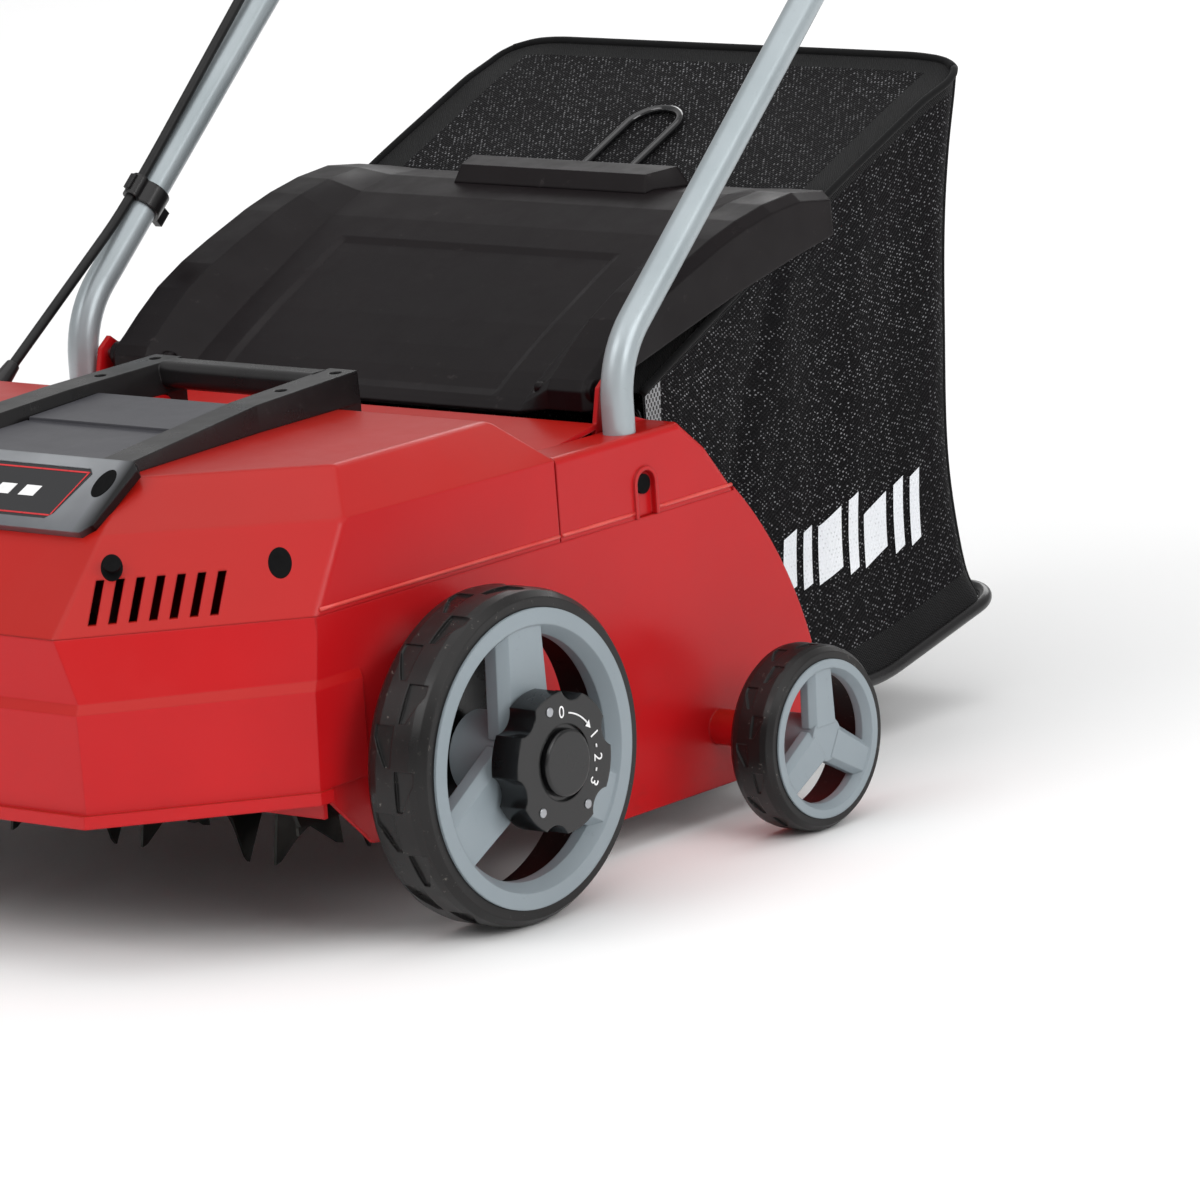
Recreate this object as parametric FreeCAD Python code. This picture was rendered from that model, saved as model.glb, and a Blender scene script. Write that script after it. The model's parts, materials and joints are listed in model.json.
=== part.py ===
import FreeCAD, Part
import math
import os

# Walk-behind electric lawn dethatcher.
# Frame: +Z up, the working front faces -Y, +X is the machine's left side.
# The shapes are drawn with Y = 0 at the front axle and moved by Y_SHIFT on export,
# which puts the origin under the middle of the whole machine, on the ground.

V = FreeCAD.Vector
os.makedirs("parts", exist_ok=True)

# ---- driving dimensions, mm ------------------------------------------------
HALF_W = 212.0          # outside of the deck's side walls
WALL = 3.0              # moulded wall
FRONT_Y = -190.0        # front skirt
DECK_TOP = 180.0        # parting line of deck and hood
SKIRT_Z = 82.0          # lower edge of the front skirt
HOOD_TOP = 248.0

WHEEL_R = 90.0          # front tyre
RIM_R = 80.0
WHEEL_X = (234.0, 274.5)
RIM_FACE_X = 276.0
CRANK_E = 10.0          # eccentricity of the depth crank
CRANK_R = 54.0           # round arm behind the front wheel
AXLE_R = 6.0
KNOB_R = 38.0
KNOB_X = (278.0, 299.0)

REAR_R = 51.3           # rear tyre
REAR_RIM_R = 43.9
REAR_X = (258.0, 287.0)
REAR_Y = 231.6
REAR_AXLE_R = 5.0

ROTOR_Y = 6.0
ROTOR_Z = 104.0
TUNNEL_R = 97.0
BLADE_REACH = 84.0
BLADE_HALF = 27.5
BLADES = 16
MOTOR_Y = -118.0
MOTOR_Z = 172.0
MOTOR_R = 40.0
BELT_X = (-162.0, -152.0)
DRIVE_END = -149.0       # where the rotor tunnel stops, beside the belt
BIG_PULLEY_R = 42.0
SMALL_PULLEY_R = 14.0

TUBE_R = 9.0
TUBE_X = 199.0          # lower tubes
UPPER_X = 179.4         # legs of the upper bow
BEND_Y = 178.0
BEND_Z = 268.0
RAKE = 48.0             # degrees from the vertical
FOLD_U = 437.0          # from the bend corner to the fold bolt
BOW_U = 590.0           # from the fold bolt to the bow's crossbar
BEND_R = 57.0

HINGE_Y = 186.0         # flap hinge
HINGE_Z = 246.0
CABLE_R = 3.0
CABLE_N = TUBE_R + CABLE_R + 0.1
CABLE_OUT_X = 236.0     # where the cable crosses the fold axis

BAG_HALF = 172.0
BAG_WALL = 2.0
Y_SHIFT = -379.1

SIN = math.sin(math.radians(RAKE))
COS = math.cos(math.radians(RAKE))
FOLD = V(0, BEND_Y + FOLD_U * SIN, BEND_Z + FOLD_U * COS)


# ---- helpers ---------------------------------------------------------------
def box(x0, x1, y0, y1, z0, z1):
    return Part.makeBox(x1 - x0, y1 - y0, z1 - z0, V(x0, y0, z0))


def cyl_x(r, x0, x1, y, z):
    return Part.makeCylinder(r, x1 - x0, V(x0, y, z), V(1, 0, 0))


def ring_x(ro, ri, x0, x1, y, z):
    return cyl_x(ro, x0, x1, y, z).cut(cyl_x(ri, x0 - 1, x1 + 1, y, z))


def rod(r, a, b):
    return Part.makeCylinder(r, (b - a).Length, a, b - a)


def polygon(points):
    return Part.makePolygon(points + [points[0]])


def prism_x(yz, x0, x1):
    face = Part.Face(polygon([V(x0, y, z) for y, z in yz]))
    return face.extrude(V(x1 - x0, 0, 0))


def prism_z(xy, z0, z1):
    face = Part.Face(polygon([V(x, y, z0) for x, y in xy]))
    return face.extrude(V(0, 0, z1 - z0))


def loft(*sections):
    return Part.makeLoft([polygon(s) for s in sections], True, True)


def fuse(*shapes):
    flat = [s for s in shapes if s is not None]
    return flat[0].multiFuse(flat[1:]).removeSplitter() if len(flat) > 1 else flat[0]


def mirror(shape):
    return shape.mirror(V(0, 0, 0), V(1, 0, 0))


def both(shape):
    return [shape, mirror(shape)]


def revolve_x(xr, y, z):
    face = Part.Face(polygon([V(x, 0, r) for x, r in xr]))
    solid = face.revolve(V(0, 0, 0), V(1, 0, 0), 360)
    solid.translate(V(0, y, z))
    return solid


def around_x(shape, angle, y, z):
    turned = shape.copy()
    turned.rotate(V(0, y, z), V(1, 0, 0), angle)
    return turned


def soften(shape, radius, pick):
    edges = [e for e in shape.Edges if pick(e)]
    try:
        out = shape.makeFillet(radius, edges)
        return out if out.isValid() and out.Volume > 0 else shape
    except Exception:
        return shape


def on_handle(shape):
    """Handle frame (x, -n, u): u runs up the rake, n stands off it to the front."""
    placed = shape.copy()
    placed.rotate(V(0, 0, 0), V(1, 0, 0), -RAKE)
    placed.translate(FOLD)
    return placed


def handle_point(x, u, n):
    return FOLD + V(x, SIN * u - COS * n, COS * u + SIN * n)


def bent_path(points, radii):
    """Straight runs joined by tangent arcs, one radius for each inner point."""
    edges = []
    start = points[0]
    for i, radius in enumerate(radii):
        corner = points[i + 1]
        a = (points[i] - corner).normalize()
        b = (points[i + 2] - corner).normalize()
        turn = math.pi - a.getAngle(b)
        setback = radius * math.tan(turn / 2)
        p = corner + a * setback
        q = corner + b * setback
        bisector = (a + b).normalize()
        centre = corner + bisector * (radius / math.cos(turn / 2))
        edges.append(Part.LineSegment(start, p).toShape())
        edges.append(Part.Arc(p, centre - bisector * radius, q).toShape())
        start = q
    edges.append(Part.LineSegment(start, points[-1]).toShape())
    return Part.Wire(edges)


def tube(points, radii, ro, ri=0.0):
    path = bent_path(points, radii)
    along = points[1] - points[0]

    def sweep(r):
        section = Part.Wire(Part.makeCircle(r, points[0], along))
        return path.makePipeShell([section], True, True)

    outer = sweep(ro)
    return outer.cut(sweep(ri)) if ri else outer


def loop_tube(points, radius, r):
    """A closed loop of round wire with equal corner radii."""
    mid = (points[0] + points[1]) * 0.5
    chain = [mid] + points[1:] + [points[0], mid]
    return tube(chain, [radius] * (len(chain) - 2), r)


def opened(outer, inner, cuts=()):
    shell = outer.cut(inner)
    for c in cuts:
        shell = shell.cut(c)
    return shell


# ---- deck ------------------------------------------------------------------
def plan(corner_x, front_y, side_x, side_y, back_y, z, back_x=None):
    half = [(corner_x, front_y), (side_x, side_y), (back_x or side_x, back_y)]
    right = [V(x, y, z) for x, y in half]
    left = [V(-x, y, z) for x, y in reversed(half)]
    return right + left


def front_block(t, z_low):
    """Front skirt: upper band, a step, the lower band and a lip, drawn t inside."""
    back = -60.0
    rows = [
        (117, FRONT_Y, HALF_W, -91, DECK_TOP),
        (131, FRONT_Y, HALF_W, -95, 147),
        (133, FRONT_Y - 4, HALF_W + 2, -99, 142),
        (133, FRONT_Y - 3, HALF_W + 2, -101, 89),
    ]
    sections = [plan(x - t / 2, y + t, sx - t, sy + t / 2, back, z) for x, y, sx, sy, z in rows]
    if z_low < SKIRT_Z:
        sections.append(plan(133 - t / 2, FRONT_Y - 3 + t, HALF_W + 2 - t, -101 + t / 2, back, z_low))
    return loft(*sections)


REAR_EDGE = [(317, 82), (293.5, 135), (257, 182)]


def deck_side():
    start = [V(HALF_W - WALL, y, z) for y, z in [(-70, DECK_TOP), (-92, DECK_TOP), (-92, SKIRT_Z), (-60, 52),
                                                 (40, 40), (140, 18), (262, 18), (302, 36), REAR_EDGE[0]]]
    edges = [Part.LineSegment(a, b).toShape() for a, b in zip(start[:-1], start[1:])]
    low, mid, top = [V(HALF_W - WALL, y, z) for y, z in REAR_EDGE]
    shoulder = V(HALF_W - WALL, 257, DECK_TOP)
    edges.append(Part.Arc(low, mid, top).toShape())
    edges.append(Part.LineSegment(top, shoulder).toShape())
    edges.append(Part.LineSegment(shoulder, start[0]).toShape())
    return Part.Face(Part.Wire(edges)).extrude(V(WALL, 0, 0))


def deck_shell():
    skirt = front_block(0, SKIRT_Z).cut(front_block(WALL, 60))
    lip = loft(plan(134, FRONT_Y - 6, HALF_W + 4, -103, -92, 89),
               plan(134, FRONT_Y - 6, HALF_W + 4, -103, -92, SKIRT_Z))
    lip = lip.cut(loft(plan(131, FRONT_Y, HALF_W - 1, -99, -90, 95),
                       plan(131, FRONT_Y, HALF_W - 1, -99, -90, 75)))
    skirt = skirt.cut(box(-300, 300, -61, 0, 0, 300)).fuse(lip)
    arch = cyl_x(TUNNEL_R + WALL, DRIVE_END, HALF_W - WALL, ROTOR_Y, ROTOR_Z)
    arch = arch.cut(cyl_x(TUNNEL_R, -200, 300, ROTOR_Y, ROTOR_Z))
    arch = arch.cut(box(-300, 300, ROTOR_Y, 300, 0, 300)).cut(box(-300, 300, -300, 300, 0, ROTOR_Z))
    arch = arch.cut(box(201, 300, -300, 300, DECK_TOP, 300))
    y0 = ROTOR_Y - TUNNEL_R
    dam = box(DRIVE_END, HALF_W - WALL, y0 - WALL, y0, 72, ROTOR_Z)
    top = ROTOR_Z + TUNNEL_R
    roof = prism_x([(ROTOR_Y, top), (ROTOR_Y, top + WALL), (174, 231), (174, 228)], -178, 187)
    roof_end = prism_x([(ROTOR_Y, top), (ROTOR_Y, top + WALL), (62, 213), (62, 210)], 187, 201)
    inner = prism_x([(104, 60), (104, 222), (172, 224), (178, 250), (186, 256), (193, 251), (198, 232),
                     (226, 222), (226, 40), (180, 40)], 184, 187)
    rib = box(184, HALF_W - WALL, 104, 107, 30, DECK_TOP)
    boss = cyl_x(17, 202, HALF_W + 1, 0, WHEEL_R + CRANK_E)
    axle_boss = cyl_x(10, 206, 254, REAR_Y, REAR_R)
    solid = fuse(skirt, arch, dam, roof, roof_end, *both(deck_side()), *both(inner), *both(rib), *both(boss),
                 *both(axle_boss))
    holes = [cyl_x(10.05, 190, 220, 0, WHEEL_R + CRANK_E), cyl_x(3.0, 180, 190, HINGE_Y, HINGE_Z),
             cyl_x(REAR_AXLE_R, 180, 260, REAR_Y, REAR_R), cyl_x(2.0, 200, 215, 150, 100)]
    for h in holes:
        solid = solid.cut(h).cut(mirror(h))
    return solid


def belly_pan():
    pan = prism_z([(128, -184), (204, -102), (204, -98), (-204, -98), (-204, -102), (-128, -184)], 91, 94)
    guard = box(-206, DRIVE_END - 1, -56, 60, 48, 51)
    wall = box(-206, -203, -56, 60, 51, 80)
    return Part.makeCompound([pan, guard.fuse(wall)])


# ---- hood and covers --------------------------------------------------------
CHAMFER = V(95, 99, 0).normalize()          # along the hood's slanted front corner, to the rear
CHAMFER_OUT = V(99, -95, 0).normalize()


def hood_block(t, drop):
    rows = [
        (117 - t / 2, FRONT_Y + t, HALF_W - t, -91 + t / 2, 107 - t, DECK_TOP - drop),
        (108 - t / 2, -138 + t, 205 - t, -58 + t / 2, 107 - t, 225 - drop / 2, 211.6 - t),
        (94 - t / 2, -104 + t, 181 - t, -34 + t / 2, 90 - t, HOOD_TOP - t),
    ]
    return loft(*[plan(*r) for r in rows])


def vents():
    slots = []
    base = V(126, -173, 0)
    for i in range(7):
        t = i * 10.6
        shape = [(t, 185), (t + 4.4, 185), (t + 11.4, 205), (t + 7.0, 205)]
        points = [base + CHAMFER * s + V(0, 0, z) - CHAMFER_OUT * 60 for s, z in shape]
        slots.append(Part.Face(polygon(points)).extrude(CHAMFER_OUT * 100))
    return slots


HOOD_SCREWS = [V(125, -150, 214), V(186, -88, 205)]


def pocket(at, r, depth):
    out = (CHAMFER_OUT + V(0, 0, 0.8)).normalize()
    return Part.makeCylinder(r, depth + 30, at - out * depth, out)


def motor_hood():
    outer = hood_block(0, 0)
    outer = soften(outer, 7.0, lambda e: e.BoundBox.ZMax > 200 and e.BoundBox.YMax < 106)
    inner = hood_block(WALL, 1)
    recess = box(-52, 52, 46, 130, 219, 300)
    recess_in = box(-55, 55, 43, 130, 216, 300)
    shell = outer.cut(recess).cut(inner.cut(recess_in))
    shell = shell.cut(box(-300, 300, -300, 300, 100, DECK_TOP))
    for s in vents():
        shell = shell.cut(s).cut(mirror(s))
    for at in HOOD_SCREWS:
        cup = pocket(at, 7.5, 5).common(outer)
        bore = pocket(at, 5.5, 3)
        shell = shell.fuse(cup).cut(bore).fuse(mirror(cup)).cut(mirror(bore))
    shell = shell.cut(box(-1.5, 1.5, -200, -150, 182, 214))
    under_roof = prism_x([(ROTOR_Y, 170), (ROTOR_Y, 204.3), (112, 221.4), (112, 170)], -187.2, 187.2)
    shell = shell.cut(under_roof)
    for x in (184, -187.2):
        shell = shell.cut(box(x - 0.1, x + 3.3, 100, 112, 170, 223.5))
    return shell.cut(cyl_gland(6.0))


COVER_YZ = [(108, DECK_TOP), (108, 226), (214, 226), (236, 208), (257, 182), (257, DECK_TOP)]


def arch_x(r, x0, x1):
    """Round-topped slab about the tube screw, open at the deck's top edge."""
    return cyl_x(r, x0, x1, 181, 198).fuse(box(x0, x1, 181 - r, 181 + r, DECK_TOP, 198))


def side_cover():
    outer = prism_x(COVER_YZ, 188, HALF_W)
    outer = soften(outer, 4.0, lambda e: e.BoundBox.ZMin > 181 and e.BoundBox.XMin > HALF_W - 1)
    inner = prism_x([(111, 170), (111, 223), (212, 223), (234, 206), (252, 170)], 185, HALF_W - WALL)
    shell = outer.cut(inner)
    shell = shell.cut(box(180, 300, 100, 300, 100, DECK_TOP))
    shell = shell.cut(Part.makeCylinder(TUBE_R, 60, V(TUBE_X, BEND_Y, 190)))
    shell = shell.fuse(arch_x(10, HALF_W - 6, HALF_W + 1.2)).cut(arch_x(7.6, HALF_W - 2.6, 230))
    shell = shell.cut(Part.makeCylinder(TUBE_R, 60, V(TUBE_X, BEND_Y, 150)))
    return shell.cut(cyl_x(2.5, 150, 230, 181, 198))


# ---- carry handle -----------------------------------------------------------
def rail():
    rear = [V(52, 107, 248), V(76, 107, 248), V(75, 107, 266), V(55, 107, 266)]
    mid = [V(56, 20, 248), V(80, 20, 248), V(79, 20, 263), V(59, 20, 263)]
    front = [V(66, -96, 248), V(92, -96, 248), V(91, -96, 254), V(69, -96, 254)]
    end = box(53, 76, 91, 107, 240, 249)
    return loft(rear, mid, front).fuse(end)


def carry_handle():
    bar = box(-56, 56, 88, 107, 251, 266)
    bar = soften(bar, 5.0, lambda e: abs(e.BoundBox.XMax - e.BoundBox.XMin) > 100)
    frame = fuse(bar, *both(rail())).cut(hood_block(0, 0))
    for at in [V(67, 53, 0), V(67, 98, 0)]:
        hole = Part.makeCylinder(3.6, 60, at + V(0, 0, 257))
        frame = frame.cut(hole).cut(mirror(hole))
    return frame


def handle_inlay():
    upper = prism_x([(42, 248), (42, 251), (38, 258), (-18, 255), (-18, 248)], -55, 55)
    lower = prism_x([(-18, 248), (-18, 253), (-88, 250.5), (-94, 248)], -57, 57)
    return fuse(upper, lower)


BEZEL_TOP = (-98.0, 252.6)
BEZEL_LOW = (-140.0, 222.5)


def slope_plate(y0, z0, y1, z1, lift, thick, half_top, half_low, corner):
    """A plate along the hood's front slope, lift above it, with slanted ends."""
    along = V(0, y1 - y0, z1 - z0)
    out = V(0, z1 - z0, y0 - y1).normalize() * -1
    if out.z < 0:
        out = out * -1
    a = V(0, y0, z0) + out * lift
    b = V(0, y1, z1) + out * lift
    c = along.normalize() * corner
    points = [V(half_top - corner, a.y, a.z), V(half_top, a.y + c.y, a.z + c.z),
              V(half_low, b.y - c.y, b.z - c.z), V(half_low - corner, b.y, b.z)]
    points += [V(-p.x, p.y, p.z) for p in reversed(points)]
    return Part.Face(polygon(points)).extrude(out * thick)


def bezel():
    plate = slope_plate(*BEZEL_TOP, *BEZEL_LOW, 0.0, 5.0, 106, 102, 6)
    plate = plate.cut(badge_recess(0.0, 8.0)).cut(hood_block(0, 0))
    out = V(0, BEZEL_LOW[1] - BEZEL_TOP[1], BEZEL_TOP[0] - BEZEL_LOW[0]).normalize()
    out = out if out.z > 0 else out * -1
    cup = Part.makeCylinder(6.0, 12, V(90, -112, 243) + out * 0.5, out)
    return plate.cut(cup).cut(mirror(cup))


def badge_recess(shrink, thick):
    return slope_plate(-104, 248.3, -134, 226.8, 2.0, thick, 78 - shrink, 70 - shrink, 4)


def badge_plate():
    return badge_recess(0.05, 2.4)


def housing_screws():
    """Hood, carry-handle and tube screws, each a head and, on the tube screws, its shank."""
    out = (CHAMFER_OUT + V(0, 0, 0.8)).normalize()
    solids = []
    for at in HOOD_SCREWS:
        head = Part.makeCylinder(4.6, 2.0, at - out * 3, out)
        solids += both(head)
    for at in [V(67, 53, 257), V(67, 98, 257)]:
        head = Part.makeCylinder(3.5, 2.2, at)
        solids += both(head)
    head = cyl_x(5.5, HALF_W - 2.6, HALF_W - 0.6, 181, 198)
    solids += both(head.fuse(cyl_x(2.5, 203, HALF_W - 2.6, 181, 198)))
    return Part.makeCompound(solids)


# ---- handle tubes, bolts, cable ----------------------------------------------
def lower_tube():
    points = [V(TUBE_X, BEND_Y, 122), V(TUBE_X, BEND_Y, BEND_Z), handle_point(TUBE_X, 32, 0)]
    solid = tube(points, [BEND_R], TUBE_R, TUBE_R - 1.5)
    solid = solid.cut(cyl_x(4.0, 150, 230, FOLD.y, FOLD.z))
    return solid.cut(cyl_x(2.5, 194, 230, 181, 198))


def fold_bolts():
    shank = cyl_x(4.0, 167, 225, FOLD.y, FOLD.z)
    head = cyl_x(7.5, 163, 167, FOLD.y, FOLD.z)
    washer = ring_x(10, 3.9, 188.7, 190.0, FOLD.y, FOLD.z)
    return Part.makeCompound(both(fuse(shank, head, washer)))


def fold_knob():
    body = cyl_x(20, 209.5, 227, FOLD.y, FOLD.z)
    for i in range(5):
        a = math.radians(72 * i)
        body = body.cut(cyl_x(8, 200, 240, FOLD.y + 25 * math.cos(a), FOLD.z + 25 * math.sin(a)))
    body = soften(body, 2.0, lambda e: e.BoundBox.XMin > 226.5)
    return body.cut(cyl_x(4.05, 200, 225.5, FOLD.y, FOLD.z))


GLAND = V(-192, 92, 237)
CLIP_U = -352.0


def cable_bend():
    return handle_point(-TUBE_X, CLIP_U - 22, CABLE_N)


def cable_dir():
    return (cable_bend() - GLAND).normalize()


def cyl_gland(r):
    d = cable_dir()
    return Part.makeCylinder(r, 34, GLAND - d * 26, d)


def cable_gland():
    d = cable_dir()
    sleeve = Part.makeCylinder(6.0, 22, GLAND - d * 14, d)
    tail = Part.makeCone(6.0, 4.2, 18, GLAND + d * 8, d)
    return sleeve.fuse(tail).cut(Part.makeCylinder(CABLE_R, 60, GLAND - d * 20, d))


def motor_cable():
    d = cable_dir()
    points = [GLAND - d * 14, cable_bend(), handle_point(-TUBE_X, CLIP_U + 22, CABLE_N),
              handle_point(-TUBE_X - 2, -150, CABLE_N + 3), handle_point(-CABLE_OUT_X, -52, 0),
              handle_point(-CABLE_OUT_X, 0, 0)]
    return tube(points, [90, 300, 110, 100], CABLE_R)


def handle_cable():
    points = [handle_point(-CABLE_OUT_X, 0, 0), handle_point(-CABLE_OUT_X, 46, 0),
              handle_point(-UPPER_X - 2, 150, CABLE_N + 2), handle_point(-UPPER_X, 280, CABLE_N),
              handle_point(-UPPER_X, 400, CABLE_N)]
    return tube(points, [95, 110, 300], CABLE_R)


def clip(x, u):
    """A strap round tube and cable with two ears, drawn in the handle's own frame."""
    n = -CABLE_N
    solid = Part.makeCylinder(TUBE_R + 2.2, 14, V(x, 0, u - 7))
    solid = solid.fuse(Part.makeCylinder(CABLE_R + 2.0, 14, V(x, n, u - 7)))
    solid = solid.fuse(box(x - 2, x + 2, -19, n, u - 5, u + 5))
    solid = solid.fuse(box(x - 2.5, x + 2.5, 9, 18, u - 5, u + 5))
    solid = solid.cut(Part.makeCylinder(TUBE_R, 40, V(x, 0, u - 20)))
    return on_handle(solid.cut(Part.makeCylinder(CABLE_R, 40, V(x, n, u - 20))))


# ---- upper bow and switch ------------------------------------------------------
def local(x, u, n):
    return V(x, -n, u)


def upper_tube():
    points = [local(-UPPER_X, -44, 0), local(-UPPER_X, BOW_U, 0), local(UPPER_X, BOW_U, 0), local(UPPER_X, -44, 0)]
    solid = tube(points, [70, 70], TUBE_R, TUBE_R - 1.5)
    hole = Part.makeCylinder(4.06, 500, V(-250, 0, 0), V(1, 0, 0))
    return on_handle(solid.cut(hole))


def grip_sleeve():
    solid = Part.makeCylinder(13, 208, V(-104, 0, BOW_U), V(1, 0, 0))
    solid = soften(solid, 3.0, lambda e: True)
    return on_handle(solid.cut(Part.makeCylinder(TUBE_R, 240, V(-120, 0, BOW_U), V(1, 0, 0))))


BOX_X = (-214.0, -148.0)
BOX_U = (400.0, 506.0)
BOX_N = (-22.0, 8.0, 38.0)      # underside, split line, top
BUTTON_N = 3.5                  # travel
LEVER_U = 470.0
LEVER_N = 22.0


def switch_half(n0, n1):
    solid = box(BOX_X[0], BOX_X[1], -n1, -n0, BOX_U[0], BOX_U[1])
    rim = -n1 if n1 > BOX_N[1] else -n0
    solid = soften(solid, 7.0, lambda e: abs(e.BoundBox.YMin - rim) < 0.1 and abs(e.BoundBox.YMax - rim) < 0.1)
    mid0 = n0 + WALL if n0 < BOX_N[1] else n0 - 1
    mid1 = n1 - WALL if n1 > BOX_N[1] else n1 + 1
    return solid.cut(box(BOX_X[0] + WALL, BOX_X[1] - WALL, -mid1, -mid0, BOX_U[0] + WALL, BOX_U[1] - WALL))


def switch_box_upper():
    solid = switch_half(BOX_N[1], BOX_N[2])
    solid = solid.cut(Part.makeCylinder(TUBE_R, 200, local(-UPPER_X, 350, 0)))
    solid = solid.cut(Part.makeCylinder(CABLE_R, 10, local(-UPPER_X, 395, CABLE_N)))
    solid = solid.cut(Part.makeCylinder(9.06, 20, local(-188, 440, 30), V(0, -1, 0)))
    solid = solid.cut(Part.makeCylinder(3.56, 20, local(-160, LEVER_U, LEVER_N), V(1, 0, 0)))
    shroud = Part.makeCylinder(15, 24, local(-197, BOX_U[1] - 4, 24))
    bore = Part.makeCylinder(12, 30, local(-197, BOX_U[1], 24))
    return on_handle(solid.fuse(shroud).cut(bore).cut(Part.makeCylinder(TUBE_R + 0.2, 60, local(-UPPER_X, 500, 0))))


def inlet_pins():
    pins = [Part.makeCylinder(2.0, 19, local(-197 + s, BOX_U[1], 24)) for s in (-6, 6)]
    return on_handle(Part.makeCompound(pins))


def switch_box_lower():
    solid = switch_half(BOX_N[0], BOX_N[1])
    solid = solid.cut(Part.makeCylinder(TUBE_R, 200, local(-UPPER_X, 350, 0)))
    hook = [local(-BOX_X[1] * -1, 440, -10), local(-134, 440, -10), local(-134, 470, -10), local(-148, 470, -10)]
    return on_handle(solid.fuse(tube(hook, [8, 8], 3.0)))


def lever_bracket():
    solid = Part.makeCylinder(TUBE_R + 3, 30, local(UPPER_X, LEVER_U - 15, 0))
    solid = solid.fuse(box(UPPER_X - 16, UPPER_X - 6, -LEVER_N - 8, -2, LEVER_U - 12, LEVER_U + 12))
    solid = solid.cut(Part.makeCylinder(TUBE_R, 60, local(UPPER_X, LEVER_U - 30, 0)))
    return on_handle(solid.cut(Part.makeCylinder(3.56, 40, local(UPPER_X - 30, LEVER_U, LEVER_N), V(1, 0, 0))))


def switch_lever():
    x0, x1 = BOX_X[1], UPPER_X
    points = [local(x0 - 2, LEVER_U, LEVER_N), local(x0 + 12, LEVER_U, LEVER_N), local(x0 + 12, BOW_U - 10, 46),
              local(x1 - 26, BOW_U - 10, 46), local(x1 - 26, LEVER_U, LEVER_N), local(x1 - 8, LEVER_U, LEVER_N)]
    return on_handle(tube(points, [7, 14, 14, 7], 3.5))


def safety_button():
    solid = Part.makeCylinder(9.0, 14, local(-188, 440, BOX_N[2] - 8), V(0, -1, 0))
    return on_handle(soften(solid, 1.5, lambda e: e.BoundBox.YMax < -BOX_N[2] - 5))


# ---- wheels ------------------------------------------------------------------
def tread_pad(x, sign, r, y, z):
    """One rounded, three-cornered recess of the tread, cut from the top of the wheel."""
    outline = [(0, -11), (0, 11), (12.5, 11), (12.5, 5), (4, -11)]
    k = r / WHEEL_R
    solid = Part.Face(polygon([V(x + sign * a * k, y + b * k, z + r - 1.9 * k) for a, b in outline]))
    solid = solid.extrude(V(0, 0, 12))
    return soften(solid, 2.6 * k, lambda e: e.BoundBox.ZLength > 10)


def tyre(x0, x1, r, y, z, r_in, step_x, r_barrel, count):
    """Tyre with its own barrel behind the rim, which starts at step_x."""
    side = (r - r_in) * 0.45
    xr = [(x0, r_barrel), (x0, r - side), (x0 + side * 0.9, r - side * 0.25), (x0 + side * 2, r),
          (x1 - side * 2, r), (x1 - side * 0.9, r - side * 0.25), (x1, r - side), (x1, r_in),
          (step_x, r_in), (step_x, r_barrel)]
    solid = revolve_x(xr, y, z)
    half = (x1 - x0) / 2
    cuts = []
    for k, sign in enumerate((1, -1)):
        pad = tread_pad((x0 + x1) / 2 + sign * half * 0.07, sign, r, y, z)
        for i in range(count):
            cuts.append(around_x(pad, 360 * (i + 0.5 * k) / count, y, z))
    return solid.cut(Part.makeCompound(cuts))


def rim(x0, face, r, y, z, hub_r, bore_r, bore_to, w_in, w_out, depth):
    lip = r * 0.11
    ring = revolve_x([(face - depth * 1.6, r), (face, r), (face, r - lip), (face - depth * 0.8, r - lip * 1.6),
                      (face - depth * 1.6, r - lip * 1.6)], y, z)
    spokes = []
    reach = r - lip * 0.8
    edge = depth * 0.5

    def outline(x, inset):
        return [V(x, y - w_in + inset, z + hub_r * 0.6), V(x, y + w_in - inset, z + hub_r * 0.6),
                V(x, y + w_out - inset, z + reach), V(x, y - w_out + inset, z + reach)]

    arm = loft(outline(face - depth * 1.6, 0), outline(face - depth * 0.75, 0), outline(face - depth * 0.15, edge))
    for i in range(3):
        spokes.append(around_x(arm, 120 * i, y, z))
    hub = cyl_x(hub_r, x0 - 1, face - depth * 0.2, y, z)
    solid = fuse(ring, hub, *spokes)
    keep = cyl_x(r, x0 - 10, face + 10, y, z)
    return solid.common(keep).cut(cyl_x(bore_r, x0 - 5, bore_to, y, z))


def front_tyre():
    return tyre(*WHEEL_X, WHEEL_R, 0, WHEEL_R, RIM_R, RIM_FACE_X - 14.4, RIM_R - 5, 12)


def front_rim():
    return rim(237, RIM_FACE_X, RIM_R, 0, WHEEL_R, 23, AXLE_R + 0.05, 300, 20, 17.5, 9)


def rear_tyre():
    return tyre(*REAR_X, REAR_R, REAR_Y, REAR_R, REAR_RIM_R, REAR_X[1] - 8.6, REAR_RIM_R - 3, 10)


def rear_rim():
    return rim(260, REAR_X[1] + 1, REAR_RIM_R, REAR_Y, REAR_R, 12.5, REAR_AXLE_R + 0.05, 281, 11, 9.6, 6)


def crank():
    zc = WHEEL_R + CRANK_E
    stub = cyl_x(10.0, 200, 214.5, 0, zc)
    disc = cyl_x(CRANK_R, 213.3, 225, 0, zc - 4)
    pin = cyl_x(AXLE_R, 214, 285, 0, WHEEL_R)
    collar = cyl_x(11, 225, 235.5, 0, WHEEL_R)
    return fuse(stub, disc, collar, pin)


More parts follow.
